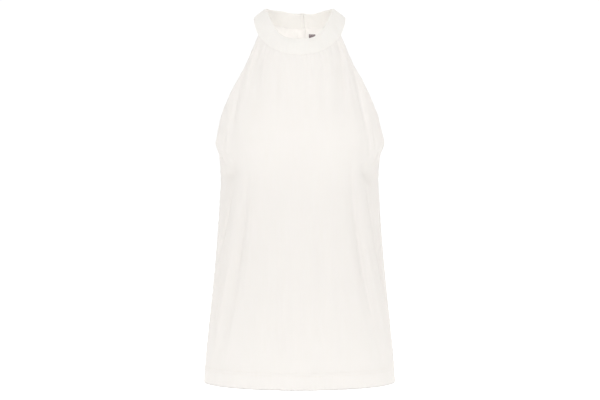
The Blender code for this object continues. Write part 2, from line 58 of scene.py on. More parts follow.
FLOOR_DROP = 130  # the floor below the hem
FLOOR_RADIUS = 60000
FLOOR_SIDES = 96
FLOOR_LIGHT = 0.36
WALL_LIGHT = 1.05
WALL_TOP = 0.22  # rise of a line of sight, where the white wall starts to dim
CEILING_LIGHT = 0.85
CEILING_START = 0.65  # the same, where it is as dim as the ceiling
LAMP_TURNS = {"front_left": -30, "front_right": 30, "back_left": -150, "back_right": 150}  # degrees
LAMP_RISE = 30
LAMP_DISTANCE = 2700
LAMP_SIZE = 900
LAMP_WATTS = 8.6
NECK_LAMP_PLACE = (26, -45, 480)
NECK_LAMP_TARGET = (6, 66, 596)
NECK_LAMP_SIZE = 80
NECK_LAMP_SPREAD = 100  # degrees, so that its light stays on the back
NECK_LAMP_WATTS = 0.0185
WHITE = (1, 1, 1, 1)


def placed(points):
    """Points in millimetres above the hem, in the row's frame in metres."""
    return (np.asarray(points, float) - [0, 0, GARMENT_LENGTH]) * MM


def add_node(tree, kind, inputs=(), **settings):
    """Adds a node with its settings. An input takes a value, an output, or a node for its first output."""
    node = tree.nodes.new(kind)
    for name, value in settings.items():
        setattr(node, name, value)
    for socket, value in dict(inputs).items():
        if isinstance(value, bpy.types.Node):
            value = value.outputs[0]
        if isinstance(value, bpy.types.NodeSocket):
            tree.links.new(value, node.inputs[socket])
        else:
            node.inputs[socket].default_value = value
    return node


def add_material(name, settings):
    """Makes a material with settings on its shader, and gives its node tree and shader too."""
    material = bpy.data.materials.new(name)
    material.use_nodes = True
    shader = material.node_tree.nodes["Principled BSDF"]
    for socket, value in settings.items():
        shader.inputs[socket].default_value = value
    return material, material.node_tree, shader


def add_object(name, data):
    """Puts a mesh, a lamp or the camera in the scene."""
    obj = bpy.data.objects.new(name, data)
    scene.collection.objects.link(obj)
    return obj


def add_lamp(name, size, watts):
    """Puts a soft square lamp in the scene."""
    light = bpy.data.lights.new(name, "AREA")
    light.size = size * MM
    light.energy = watts
    return add_object(name, light)


def aim(obj, place, target):
    """Puts a lamp or the camera at a place, looking at a target."""
    obj.location = place
    obj.rotation_euler = (Vector(target) - Vector(place)).to_track_quat("-Z", "Y").to_euler()


def mesh_from(form, name, material):
    """Turns a bmesh into a mesh of one material."""
    mesh = bpy.data.meshes.new(name)
    form.to_mesh(mesh)
    form.free()
    mesh.materials.append(material)
    return mesh


scene = bpy.context.scene
scene.view_settings.view_transform = "Standard"
scene.view_settings.look = "None"

camera = add_object("camera", bpy.data.cameras.new("camera"))
camera.data.lens = CAMERA_LENS
camera.data.sensor_width = CAMERA_SENSOR
camera.data.clip_end = CAMERA_REACH * MM
aim(camera, placed([CAMERA_ASIDE, -CAMERA_DISTANCE, CAMERA_HEIGHT]),
    placed([CAMERA_ASIDE, 0, CAMERA_HEIGHT]))
scene.camera = camera

world = bpy.data.worlds.new("surround")
world.use_nodes = True
background = world.node_tree.nodes["Background"]
background.inputs["Color"].default_value = WHITE
sight = add_node(world.node_tree, "ShaderNodeTexCoord")
sight_parts = add_node(world.node_tree, "ShaderNodeSeparateXYZ", {0: sight.outputs["Generated"]})
surround = add_node(
    world.node_tree, "ShaderNodeMapRange",
    {"Value": sight_parts.outputs["Z"], "From Min": WALL_TOP, "From Max": CEILING_START,
     "To Min": WALL_LIGHT, "To Max": CEILING_LIGHT}, interpolation_type="SMOOTHSTEP")
world.node_tree.links.new(surround.outputs[0], background.inputs["Strength"])
scene.world = world

middle = placed([0, 0, GARMENT_LENGTH / 2])
rise = np.radians(LAMP_RISE)
for name, degrees in LAMP_TURNS.items():
    turn = np.radians(degrees)
    away = np.array([np.sin(turn) * np.cos(rise), -np.cos(turn) * np.cos(rise), np.sin(rise)])
    aim(add_lamp(name, LAMP_SIZE, LAMP_WATTS), middle + away * LAMP_DISTANCE * MM, middle)

neck_lamp = add_lamp("neck", NECK_LAMP_SIZE, NECK_LAMP_WATTS)
neck_lamp.data.spread = np.radians(NECK_LAMP_SPREAD)
neck_lamp.visible_camera = False
aim(neck_lamp, placed(NECK_LAMP_PLACE), placed(NECK_LAMP_TARGET))

# Matt white acrylic, lit from within: it has no gloss, and the top leaves hardly a shadow on it.
acrylic, _, _ = add_material("matt_white_acrylic", {
    "Base Color": (0.9, 0.9, 0.9, 1), "Roughness": 1, "Specular IOR Level": 0,
    "Emission Color": WHITE, "Emission Strength": FLOOR_LIGHT})
form = bmesh.new()
bmesh.ops.create_circle(form, cap_ends=True, segments=FLOOR_SIDES, radius=FLOOR_RADIUS * MM)
bmesh.ops.translate(form, verts=form.verts, vec=placed([0, 0, -FLOOR_DROP]))
floor = add_object("floor", mesh_from(form, "floor", acrylic))

# ----------------------------------------------------------------------
# Neck band. One strip of the top's own jersey, folded along its length, pressed and sewn round the
# neck edge. It is open at the back, where its outer end laps over the inner one.
SEAM_GAP = 0.1  # between pieces that are sewn to each other
SEAM_TUCK = 0.8  # how far the panels run up into the band
JERSEY = 0.9  # one layer
BAND_LAYER_GAP = 0.2  # between the band's two layers
BAND_LAYER = 1.1
BAND_THICKNESS = 2 * BAND_LAYER + BAND_LAYER_GAP
BAND_PROUD = 0.1  # how far the band stands out from the panels
BAND_BULGE = 0.8
BAND_BULGE_RUN = {0: 0, 0.3: 0.8, 0.65: 1, 0.95: 0.3, 1: 0}  # its share, by the share of the way up
BAND_END_TAPER = 5.5  # each end is pressed thin towards the other
BAND_END_THICKNESS = 0.12  # as a share of the whole
BAND_LIP = 0.2  # how far up its turned lower edges are round
BAND_FOOT_HALF_WIDTH = 76  # lower edge of the band
BAND_FOOT_FRONT_DEPTH = 88
BAND_FOOT_BACK_DEPTH = 68
BAND_TOP_HALF_WIDTH = 55  # neckline
BAND_TOP_FRONT_DEPTH = 75
BAND_TOP_BACK_DEPTH = 55
FRONT_CORNER = 62  # degrees round the neck from centre front, where the armhole starts
BACK_CORNER = 58  # the same from centre back
INNER_END = -186.3  # degrees from centre front, by way of the wearer's right
OUTER_END = 190.5  # degrees from centre front, by way of the wearer's left
LAP_START = 142  # from here to LAP_FULL the ends part to make room for each other
LAP_FULL = 165
LAP_OFFSET = 1.27
ANGLE_STEP = 0.5
BAND_COLUMNS = 400
BAND_END_COLUMNS = np.array([0, 0.12, 0.35, 0.7, 1.2])  # degrees from each end
BAND_EVEN_FROM = 2  # degrees from each end, where the columns are even
BAND_POINTS = np.array([0.5, 1.2, 2.5, 5, 8, 11, 14, 17, 20, 22.5])  # up each face of its section
BAND_POINTS_END = 1  # the last one stays this far below the fold

# Heights of the band's two edges, from centre front to centre back.
BandStation = namedtuple("BandStation", "angle foot_height top_height")
BAND_STATIONS = [
    BandStation(0, 529, 555.3),
    BandStation(16, 531.8, 557.7),
    BandStation(31, 539.2, 563.8),
    BandStation(45, 549.8, 576),
    BandStation(FRONT_CORNER, 566.7, 595.5),
    BandStation(76, 585, 608.5),
    BandStation(90, 599, 615),
    BandStation(104, 601, 616.8),
    BandStation(180 - BACK_CORNER, 599, 617),
    BandStation(148, 595.5, 616.6),
    BandStation(165, 593, 615),
    BandStation(180, 592, 613.6),
]

# The band doesn't sit quite level: it rises at the lap and dips beside it.
Waver = namedtuple("Waver", "angle spread lift")
BAND_WAVERS = [
    Waver(176, 5, 1.3),
    Waver(155, 14, -3),
    Waver(-150, 16, 0.8),
]

# Soft creases across the band, where it turns over the shoulders.
BandCrease = namedtuple("BandCrease", "angle spread depth")
BAND_CREASES = [
    BandCrease(-84, 5, 0.5),
    BandCrease(-66, 4, 0.35),
    BandCrease(-38, 4.5, 0.2),
    BandCrease(33, 4, 0.22),
    BandCrease(63, 4.5, 0.4),
    BandCrease(88, 5.5, 0.55),
    BandCrease(112, 4, 0.3),
    BandCrease(-117, 5, 0.35),
    BandCrease(151, 4, 0.35),
    BandCrease(-158, 4.5, 0.3),
]
BAND_PUCKER_DEPTH = 0.12  # ripples that the seam draws up in the band's lower part
BAND_PUCKER_TURNS = (5.4, 6.7, 9.4)  # degrees round the neck of the waves that add up to them
BAND_PUCKER_EASE = 6  # degrees in which they fade out at the band's ends

WALE = 0.85  # width of one column of stitches
COURSE = 0.66  # height of one row of stitches
STITCH_RISE = 0.12
STITCH_SLANT = 1.5  # courses that a stitch's leg climbs in one wale
STREAK_WIDTH = 2.381  # of the yarn's uneven stretches, which run along the wales
STREAK_LENGTH = 38.46
IVORY_JERSEY = "#F3F1EF"
IVORY_JERSEY_SHADE = "#F2F0ED"
IVORY_DOUBLED = "#F8F6F3"
IVORY_DOUBLED_SHADE = "#F7F5F1"
LET_THROUGH = 0.45  # share of the light that goes on into the cloth at its face
DOUBLED_LET_THROUGH = 0.3


def smooth_step(value):
    """Goes from 0 to 1 with level ends as the value does."""
    value = np.clip(value, 0, 1)
    return value * value * (3 - 2 * value)


def smooth_curve(knots, values, at):
    """Reads a cubic through the knots that never overshoots them."""
    knots = np.asarray(knots, float)
    values = np.asarray(values, float)
    step = np.diff(knots)
    slope = np.diff(values) / step
    tangent = np.zeros(len(knots))
    tangent[0] = slope[0]
    tangent[-1] = slope[-1]
    for i in range(1, len(knots) - 1):
        if slope[i - 1] * slope[i] > 0:
            before = 2 * step[i] + step[i - 1]
            after = step[i] + 2 * step[i - 1]
            tangent[i] = (before + after) / (before / slope[i - 1] + after / slope[i])
    at = np.clip(at, knots[0], knots[-1])
    k = np.clip(np.searchsorted(knots, at, side="right") - 1, 0, len(knots) - 2)
    u = (at - knots[k]) / step[k]
    return (values[k] * (1 + 2 * u) * (1 - u) ** 2 + values[k + 1] * u * u * (3 - 2 * u)
            + step[k] * (tangent[k] * u * (1 - u) ** 2 + tangent[k + 1] * u * u * (u - 1)))


def unit(vectors):
    """Scales vectors to length 1."""
    return vectors / np.linalg.norm(vectors, axis=-1, keepdims=True)


def band_edge_points(angle, half_width, front_depth, back_depth, heights):
    """Points on one edge of the band, at angles in degrees from centre front."""
    turn = np.radians(angle)
    depth = np.where(np.cos(turn) < 0, back_depth, front_depth)
    station = np.abs((angle + 180) % 360 - 180)
    height = smooth_curve([row.angle for row in BAND_STATIONS], heights, station)
    return np.stack([half_width * np.sin(turn), -depth * np.cos(turn), height], axis=-1)


def band_edges(angle):
    """The band's lower and upper edge, before its ends part at the lap."""
    foot = band_edge_points(
        angle, BAND_FOOT_HALF_WIDTH, BAND_FOOT_FRONT_DEPTH, BAND_FOOT_BACK_DEPTH,
        [row.foot_height for row in BAND_STATIONS])
    top = band_edge_points(
        angle, BAND_TOP_HALF_WIDTH, BAND_TOP_FRONT_DEPTH, BAND_TOP_BACK_DEPTH,
        [row.top_height for row in BAND_STATIONS])
    return foot, top


def band_frame(angle):
    """The band as worn: lower edge, upper edge, direction up it and outward direction."""
    angle = np.asarray(angle, float)
    foot, top = band_edges(angle)
    ahead, _ = band_edges(angle + ANGLE_STEP)
    behind, _ = band_edges(angle - ANGLE_STEP)
    up = unit(top - foot)
    outward = unit(np.cross(ahead - behind, up))
    parted = smooth_step((np.abs(angle) - LAP_START) / (LAP_FULL - LAP_START))
    shift = outward * (np.sign(angle) * parted * LAP_OFFSET)[..., None]
    for waver in BAND_WAVERS:
        shift[..., 2] += waver.lift * np.exp(-((angle - waver.angle) / waver.spread) ** 2)
    return foot + shift, top + shift, up, outward


def band_bulge(share):
    """How far the band swells, by the share of the way up it."""
    return BAND_BULGE * smooth_curve(list(BAND_BULGE_RUN), list(BAND_BULGE_RUN.values()), share)


def linear(colour):
    """An sRGB hex value as a linear colour."""
    values = [int(colour[i:i + 2], 16) / 255 for i in (1, 3, 5)]
    return [v / 12.92 if v <= 0.04045 else ((v + 0.055) / 1.055) ** 2.4 for v in values] + [1]


def jersey(name, colour, shade, let_through):
    """Fine single jersey, combed and washed: matt, with a short nap and V-shaped stitches.

    The stitches are at their real size, which shows only close up. What shows from a step away is
    the yarn's unevenness, in soft streaks along the wales. Light goes on through the thin white
    cloth, so that the inside of the top is nearly as light as its outside.
    """
    material, tree, shader = add_material(name, {
        "Roughness": 0.88, "Specular IOR Level": 0.25, "Sheen Weight": 0.12, "Sheen Roughness": 0.6})
    cloth = add_node(tree, "ShaderNodeUVMap", uv_map="cloth")
    place = add_node(tree, "ShaderNodeSeparateXYZ", {0: cloth})
    wales = add_node(
        tree, "ShaderNodeMath", {0: place.outputs[0], 1: 1 / (WALE * MM)}, operation="MULTIPLY")
    courses = add_node(
        tree, "ShaderNodeMath", {0: place.outputs[1], 1: 1 / (COURSE * MM)}, operation="MULTIPLY")
    aside = add_node(tree, "ShaderNodeMath", {0: wales, 1: 0.5}, operation="PINGPONG")
    leg_turn = add_node(tree, "ShaderNodeMath", {0: aside, 1: 2 * np.pi}, operation="MULTIPLY")
    leg = add_node(tree, "ShaderNodeMath", {0: leg_turn}, operation="SINE")
    slant = add_node(
        tree, "ShaderNodeMath", {0: aside, 1: STITCH_SLANT, 2: courses}, operation="MULTIPLY_ADD")
    along = add_node(tree, "ShaderNodeMath", {0: slant}, operation="FRACT")
    loop_turn = add_node(tree, "ShaderNodeMath", {0: along, 1: np.pi}, operation="MULTIPLY")
    loop = add_node(tree, "ShaderNodeMath", {0: loop_turn}, operation="SINE")
    stitch = add_node(tree, "ShaderNodeMath", {0: leg, 1: loop}, operation="MULTIPLY")

    streak_scale = (1 / (STREAK_WIDTH * MM), 1 / (STREAK_LENGTH * MM), 1)
    streaks_place = add_node(tree, "ShaderNodeMapping", {"Vector": cloth, "Scale": streak_scale})
    streaks = add_node(
        tree, "ShaderNodeTexNoise", {"Vector": streaks_place, "Scale": 1, "Detail": 3, "Roughness": 0.6})
    spread = add_node(tree, "ShaderNodeMapRange", {"Value": streaks, "From Min": 0.3, "From Max": 0.7})
    tint = add_node(
        tree, "ShaderNodeMix", {0: spread, 6: linear(shade), 7: linear(colour)}, data_type="RGBA")
    tree.links.new(tint.outputs[2], shader.inputs["Base Color"])
    through = add_node(tree, "ShaderNodeBsdfTranslucent", {"Color": tint.outputs[2]})
    cloth_shader = add_node(tree, "ShaderNodeMixShader", {0: let_through, 1: shader, 2: through})
    tree.links.new(cloth_shader.outputs[0], tree.nodes["Material Output"].inputs["Surface"])

    nap = add_node(tree, "ShaderNodeBump", {"Strength": 0.08, "Distance": 0.1 * MM, "Height": streaks})
    knit = add_node(tree, "ShaderNodeBump",
                    {"Strength": 0.2, "Distance": STITCH_RISE * MM, "Height": stitch, "Normal": nap})
    tree.links.new(knit.outputs[0], shader.inputs["Normal"])
    return material


def add_piece(name, points, faces, cloth_uv, material):
    """Makes a smooth mesh object from points in millimetres, with its place on the cloth as its UV map."""
    mesh = bpy.data.meshes.new(name)
    mesh.from_pydata(placed(points).tolist(), [], faces)
    if cloth_uv is not None:
        corners = np.zeros(len(mesh.loops), int)
        mesh.loops.foreach_get("vertex_index", corners)
        layer = mesh.uv_layers.new(name="cloth")
        layer.data.foreach_set("uv", (np.asarray(cloth_uv)[corners] * MM).ravel())
    mesh.materials.append(material)
    mesh.shade_smooth()
    return add_object(name, mesh)


def band_outline(width):
    """The folded strip's section, right round: place up the band and place outwards."""
    half = BAND_THICKNESS / 2
    lip = BAND_LAYER / 2
    slot_top = width - half - SEAM_GAP
    rises = BAND_POINTS[BAND_POINTS < width - half - BAND_POINTS_END]
    section = []

    def turn_round(centre_up, centre_out, radius, start, end, steps):
        for angle in np.radians(np.linspace(start, end, steps)):
            rise = min(radius, centre_up) if centre_up < width / 2 else radius
            section.append((centre_up + rise * np.sin(angle), centre_out + radius * np.cos(angle)))

    turn_round(BAND_LIP, -lip, lip, -90, 0, 4)
    section.extend((rise, 0) for rise in rises)
    turn_round(width - half, -half, half, 0, 180, 11)
    section.extend((rise, -BAND_THICKNESS) for rise in rises[::-1])
    turn_round(BAND_LIP, -BAND_THICKNESS + lip, lip, 180, 360, 7)
    section.append((slot_top / 2, -half - BAND_LAYER_GAP / 2))
    section.append((slot_top, -half - BAND_LAYER_GAP / 2))
    section.append((slot_top, -half + BAND_LAYER_GAP / 2))
    section.append((slot_top / 2, -half + BAND_LAYER_GAP / 2))
    turn_round(BAND_LIP, -lip, lip, 180, 240, 3)
    return np.array(section)


def band_ripple(angle):
    """How far the seam's ripples push out the band's lower edge."""
    waves = sum(np.sin(2 * np.pi * angle / turn + i) for i, turn in enumerate(BAND_PUCKER_TURNS))
    from_end = np.minimum(angle - INNER_END, OUTER_END - angle)
    return BAND_PUCKER_DEPTH * waves * smooth_step(from_end / BAND_PUCKER_EASE)


def band_crease(angle):
    """How deep the band's creases are."""
    return sum(crease.depth * np.exp(-((angle - crease.angle) / crease.spread) ** 2)
               for crease in BAND_CREASES)


def neck_band_mesh(material):
    """Sweeps the folded section round the neck, rounded off at both ends."""
    angles = np.concatenate([
        INNER_END + BAND_END_COLUMNS,
        np.linspace(INNER_END + BAND_EVEN_FROM, OUTER_END - BAND_EVEN_FROM, BAND_COLUMNS),
        (OUTER_END - BAND_END_COLUMNS)[::-1]])
    foot, top, up, outward = band_frame(angles)
    width = np.linalg.norm(top - foot, axis=-1)
    length = np.concatenate([[0], np.cumsum(np.linalg.norm(np.diff((foot + top) / 2, axis=0), axis=-1))])
    from_end = np.minimum(length, length[-1] - length)
    rounding = BAND_END_THICKNESS + (1 - BAND_END_THICKNESS) * smooth_step(from_end / BAND_END_TAPER)
    pressed_to = np.where(angles < 0, 0, -BAND_THICKNESS)
    ripple, crease = band_ripple(angles), band_crease(angles)

    points, cloth_uv = [], []
    for i in range(len(angles)):
        section = band_outline(width[i])
        share = np.clip(section[:, 0] / width[i], 0, 1)
        out = BAND_PROUD + pressed_to[i] + (section[:, 1] - pressed_to[i]) * rounding[i]
        out = out + band_bulge(share)
        out = out + ripple[i] * (1 - share) - crease[i] * np.sin(np.pi * share)
        points.append(foot[i] + up[i] * section[:, :1] + outward[i] * out[:, None])
        around = np.concatenate([[0], np.cumsum(np.linalg.norm(np.diff(section, axis=0), axis=-1))])
        cloth_uv.append(np.stack([np.full(len(section), length[i]), around], axis=-1))
    count = len(points[0])
    faces = []
    for start in range(0, (len(angles) - 1) * count, count):
        for j in range(count):
            a, b = start + j, start + (j + 1) % count
            faces.append((a, a + count, b + count, b))
    faces.append(tuple(range(count)))
    faces.append(tuple(reversed(range((len(angles) - 1) * count, len(angles) * count))))
    return add_piece("neck_band_cloth", np.concatenate(points), faces, np.concatenate(cloth_uv), material)


doubled_jersey = jersey("cotton_jersey_doubled", IVORY_DOUBLED, IVORY_DOUBLED_SHADE, DOUBLED_LET_THROUGH)
neck_band = neck_band_mesh(doubled_jersey)
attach(neck_band, "root")
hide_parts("neck_band")

# ----------------------------------------------------------------------
# Front. One panel of jersey from the hem to the band, cut in at the armholes, with its hem and its
# armhole edges turned inside and sewn down. It hangs from the band over the bust.
UNDERARM_HEIGHT = 373
HEM_DEPTH = 28
HEM_EDGE = 0.5  # height in which the turned-up layer ends
HEM_ROWS = (22.4, 27.4)  # heights of the two rows of stitches
ARMHOLE_TURN_WIDTH = 9
ARMHOLE_ROW = 7.4  # the row of stitches, from the edge
TURN_EASE = 1.6  # width in which a turned edge's second layer ends
TURN_START = 7  # height in which it begins, at the underarm and at the slit's foot
PRESSED = 4  # turned edges are pressed thin this near the band
SEAM_PRESSED = 3  # and this near a side seam
SEAM_HOLD = 24  # folds flatten out this near a side seam
BAND_HOLD = 40  # and this near the band
CREASE_HOLD = 14  # the same, for creases
EDGE_HOLD = 1.5  # and for what the sewing draws up
EDGE_EASE = 12  # height in which one kind of edge passes into another
HEM_WAVE = 0.35
HEM_WAVE_RUNS = (9, 23)
HEM_WAVE_REACH = 60
HEM_ROPE = 0.07  # slanting ripples of the turned hem
HEM_ROPE_FOOT = 0.3  # what there is of them at its foot, as a share
HEM_ROPE_RISE = 6
HEM_ROPE_EDGE = 10
PUCKER_EASE = 2
RIM_TURNS = (45, 90, 135)  # degrees round a cloth's edge, where its rim has points
STITCH_SINK = 0.12  # how far a row of stitches draws the cloth in
STITCH_SINK_WIDTH = 1.1
PANEL_COLUMNS = 184
PANEL_ROWS = 210

# A panel's rows lie close together round the hem's stitches and below the band.
HEM_HEIGHTS = np.array([
    0, 0.8, 2, 4, 7, 10, 13, 16, 18.5, 20.2, 21.3, 22, 22.4, 22.8, 23.6, 24.8, 25.9, 26.8, 27.4, 27.9,
    28.4, 29.3, 31])
BODY_START = 33
BODY_END = 7  # below the band
BELOW_BAND = np.array([5.2, 3.8, 2.5, 1.3, 0])
EDGE_CROWDING = 0.3  # how much closer the columns are at the edges
SECTION_SAMPLES = 24
SHARE_STEP = 0.002
HEIGHT_STEP = 0.5

# One row for each height where the form turns. A section is part of an ellipse, from the centre
# line to the panel's edge, which is the side seam up to the underarm and then the armhole.
Section = namedtuple("Section", "centre_height centre_depth edge_height half_width edge_depth")
FRONT_SECTIONS = [
    Section(0, 113, 0, 157.7, 0),
    Section(35, 112.5, 35, 155.3, 0),
    Section(100, 112, 100, 148.8, 0),
    Section(167, 112, 167, 141.5, 0),
    Section(233, 113, 233, 136, 0),
    Section(299, 115, 299, 131.5, 0),
    Section(332, 117, 332, 129.8, 0),
    Section(UNDERARM_HEIGHT, 119.5, UNDERARM_HEIGHT, 132.4, 0),
    Section(380, 119.9, 376.5, 132.9, 13),
    Section(388, 120.1, 385, 133.2, 23),
    Section(402, 119.8, 403, 132.8, 37),
    Section(424, 117.5, 427.9, 128.3, 52),
    Section(452, 112, 459.2, 115.7, 63),
    Section(478, 105, 490.9, 100.6, 67),
    Section(503, 97, 523.9, 83.6, 59),
]

# A fold runs from its foot to its top, bowed sideways in between. It is a soft trough where its
# depth is above 0 and a soft ridge where it is below. Left and right differ, as in worn cloth.
Fold = namedtuple("Fold", "foot_across foot_height top_across top_height bow width depth")
FOLD_SHOULDER = 0.35  # the rise on each side of a trough, as a share of its depth
FOLD_SHOULDER_AT = 1.7  # its place, in widths from the trough's line
FRONT_FOLDS = [
    Fold(-70, 440, -84, 650, 2, 9, 4),  # from the band's corners to the bust
    Fold(64, 432, 89, 650, -3, 9.5, 4.2),
    Fold(-116, 378, -99, 535, -1, 9, 2),
    Fold(118, 380, 89, 545, -3, 9.5, 2.2),
    Fold(-36, 408, -40, 640, 0, 7, 1.9),  # under the band
    Fold(-15, 440, -14, 620, 0, 6, 1.4),
    Fold(16, 425, 18, 630, 0, 6.5, 1.7),
    Fold(38, 415, 44, 640, 0, 7, 1.8),
    Fold(-138, 38, -87, 362, 8, 11, 3.4),  # from below the bust to the hem
    Fold(145, 42, 85, 358, -9, 11, 3.6),
    Fold(-170, 70, -128, 345, 2, 12, 2.2),
    Fold(181, 62, 125, 335, 0, 12.5, 2.6),
    Fold(-152, 12, -118, 205, 3, 10, 2.6),
    Fold(160, 15, 128, 180, 0, 10, 2.2),
    Fold(-39, -60, -37, 345, 1, 10, 1.5),
    Fold(39, -60, 37, 350, -1, 10, 1.6),
]

# Finer creases, which the panel's solid leaves out.
FRONT_CREASES = [
    Fold(-92, 425, -78, 560, 2, 4, 0.7),  # beside the folds from the band's corners
    Fold(96, 418, 77, 562, -2, 4.2, 0.7),
    Fold(-54, 470, -62, 600, 0, 3.6, 0.7),
    Fold(50, 462, 66, 602, 0, 3.4, 0.6),
    Fold(-27, 478, -30, 580, 0, 3, 0.45),
    Fold(27, 482, 31, 580, 0, 3, 0.5),
    Fold(3, 492, 2, 570, 0, 3.2, 0.35),
    Fold(-132, 352, -108, 452, -3, 4.5, 0.8),  # across the bust's side
    Fold(134, 348, 106, 448, 3, 4.5, 0.9),
    Fold(-150, 372, -130, 412, 0, 4, 0.7),
    Fold(152, 370, 131, 414, 0, 4, 0.7),
    Fold(-172, 84, -112, 250, 0, 5, 1.1),  # between the long folds
    Fold(173, 70, 113, 262, 0, 5, 1.1),
    Fold(-188, 110, -170, 280, 0, 5, 0.7),
    Fold(196, 190, 172, 310, 0, 5, 0.7),
    Fold(-68, 40, -60, 190, 3, 6, 0.5),
    Fold(72, 46, 62, 205, -3, 6, 0.5),
    Fold(-134, 60, -86, 372, 8, 4.2, 1.3),  # the bottoms of the long folds
    Fold(142, 64, 85, 366, -9, 4.2, 1.4),
    Fold(-203, 140, -125, 342, 18, 4.2, 2),
    Fold(216, 60, 124, 342, -16, 4.2, 2),
    Fold(-83, 440, -78, 610, 0, 4.2, 1.3),  # the bottoms of the folds from the band
    Fold(69, 440, 83, 610, 0, 4.2, 1.5),
    Fold(-117, 385, -101, 500, 0, 4, 1),
    Fold(119, 385, 93, 515, 0, 4, 1.1),
    Fold(-12, 30, -16, 240, 2, 7, 0.4),
    Fold(15, 26, 12, 200, -2, 7, 0.35),
]

# Broad fullness and hollows of the worn shape.
Swell = namedtuple("Swell", "across height half_across half_height lift")
FRONT_SWELLS = [
    Swell(-68, 408, 46, 50, 6),  # the bust
    Swell(68, 408, 46, 50, 6),
    Swell(-137, 345, 23, 15, -9.8),  # drawn in below it at the sides, more at the top
    Swell(138, 344, 23, 15, -10.4),
    Swell(-147, 320, 22, 32, -3.4),
    Swell(147, 320, 22, 32, -3.6),
    Swell(-160, 362, 12, 8, -3.4),
    Swell(161, 362, 12, 8, -3.6),
    Swell(-177, 390, 27, 16, 4.8),  # the armhole's edge, pushed out by the bust
    Swell(178, 391, 27, 17, 5.6),
]

# Where the armholes' edges meet, the cloth dips in under them.
FRONT_DIMPLES = [
    Swell(-172, 371, 5, 5.5, -4.8),
    Swell(166, 371.5, 5.2, 6, -5.4),
]

# Short puckers that the band's seam draws up in the panel below it.
Pucker = namedtuple("Pucker", "across reach width depth")
FRONT_PUCKERS = [
    Pucker(-78, 30, 2.6, 0.6), Pucker(-66, 16, 2.2, 0.5), Pucker(-57, 24, 2.6, 0.7),
    Pucker(-47, 12, 2, 0.4), Pucker(-34, 20, 2.4, 0.5), Pucker(-23, 11, 2.2, 0.35),
    Pucker(-9, 15, 2.4, 0.4), Pucker(4, 10, 2, 0.3), Pucker(13, 17, 2.6, 0.45),
    Pucker(26, 12, 2, 0.35), Pucker(36, 22, 2.6, 0.55), Pucker(49, 13, 2.2, 0.4),
    Pucker(59, 27, 2.6, 0.5), Pucker(69, 15, 2.2, 0.4), Pucker(80, 28, 2.8, 0.6),
]

# Low, wide unevenness of the cloth as it hangs: pairs of slanting waves, each multiplied by the other.
Slant = namedtuple("Slant", "across_run height_run shift")
Undulation = namedtuple("Undulation", "lift first second")
UNDULATIONS = [
    Undulation(0.45, Slant(31, 83, 0), Slant(-91, 57, 0)),
    Undulation(0.22, Slant(13, -47, 1), Slant(37, 29, 0)),
]

# The slanting ripples of the turned hem.
Rope = namedtuple("Rope", "share slant run")
HEM_ROPES = [Rope(1, 0.5, 1.35), Rope(0.7, -0.2, 2.15)]

# Small waves that the sewing draws up along an edge, not quite alike at the two sides.
Wave = namedtuple("Wave", "lift run shift")
ARMHOLE_WAVES = [Wave(0.2, 4.6, 1), Wave(0.15, 2.9, 2)]
ARMHOLE_WAVES_WIDTH = 10
SEAM_WAVES = [Wave(0.3, 2.7, 1), Wave(0.25, 1.9, -2)]
SEAM_WAVES_WIDTH = 7

# A panel faces 1 to the front or -1 to the back.
Panel = namedtuple("Panel", "facing sections folds creases swells dimples puckers")


def band_section(facing):
    """A panel's last section, which is the band's lower edge."""
    corner = FRONT_CORNER if facing > 0 else 180 - BACK_CORNER
    centre = 0 if facing > 0 else 180
    (low, _), (side, _) = band_edges(np.array(centre)), band_edges(np.array(corner))
    return Section(low[2], abs(low[1]), side[2], side[0], abs(side[1]))


def top_of(panel):
    """Height of a panel's centre line at the band."""
    return panel.sections[-1].centre_height


def section_column(panel, name, height):
    """One column of a panel's table, read at heights on its centre line."""
    knots = [row.centre_height for row in panel.sections]
    values = [getattr(row, name) for row in panel.sections]
    return smooth_curve(knots, values, height)


def armhole_depth(panel, height):
    """Depth of a panel's edge, which leaves the side seam at the underarm in a round turn."""
    rows = [row for row in panel.sections if row.centre_height >= UNDERARM_HEIGHT]
    at = np.maximum(height, UNDERARM_HEIGHT)
    return smooth_curve([row.centre_height for row in rows], [row.edge_depth for row in rows], at)


def plain_form(panel, share, height):
    """The worn form without folds. The share goes from -1 to 1 across the panel."""
    half_width = section_column(panel, "half_width", height)
    centre_depth = section_column(panel, "centre_depth", height)
    edge_height = section_column(panel, "edge_height", height)
    spread = np.arccos(armhole_depth(panel, height) / centre_depth)
    turned = (1 - np.cos(share * spread)) / (1 - np.cos(spread))
    x = half_width * np.sin(share * spread) / np.sin(spread)
    depth = centre_depth * np.cos(share * spread) + SEAM_GAP / 2
    z = height + (edge_height - height) * turned
    return np.stack([panel.facing * x, -panel.facing * depth, z], axis=-1)


def across_cloth(panel, share, height):
    """Length along the cloth from the panel's centre line, below 0 on its left."""
    total = np.zeros(np.broadcast(share, height).shape)
    last = plain_form(panel, share * 0, height)
    for i in range(1, SECTION_SAMPLES + 1):
        here = plain_form(panel, share * i / SECTION_SAMPLES, height)
        total += np.linalg.norm(here - last, axis=-1)
        last = here
    return total * np.sign(share)


def half_girth_at(panel, height):
    """Length along the cloth from the centre line to the panel's edge."""
    return across_cloth(panel, np.ones_like(height), height)


def fold_relief(folds, across, height):
    """How far folds lift the cloth at a place on it."""
    total = np.zeros(np.broadcast(across, height).shape)
    for fold in folds:
        run = np.clip((height - fold.foot_height) / (fold.top_height - fold.foot_height), 0, 1)
        line = fold.foot_across + (fold.top_across - fold.foot_across) * run
        off = (across - line - fold.bow * 4 * run * (1 - run)) / fold.width
        shoulders = np.exp(-(off - FOLD_SHOULDER_AT) ** 2) + np.exp(-(off + FOLD_SHOULDER_AT) ** 2)
        total -= fold.depth * np.sin(np.pi * run) * (np.exp(-off ** 2) - FOLD_SHOULDER * shoulders)
    return total


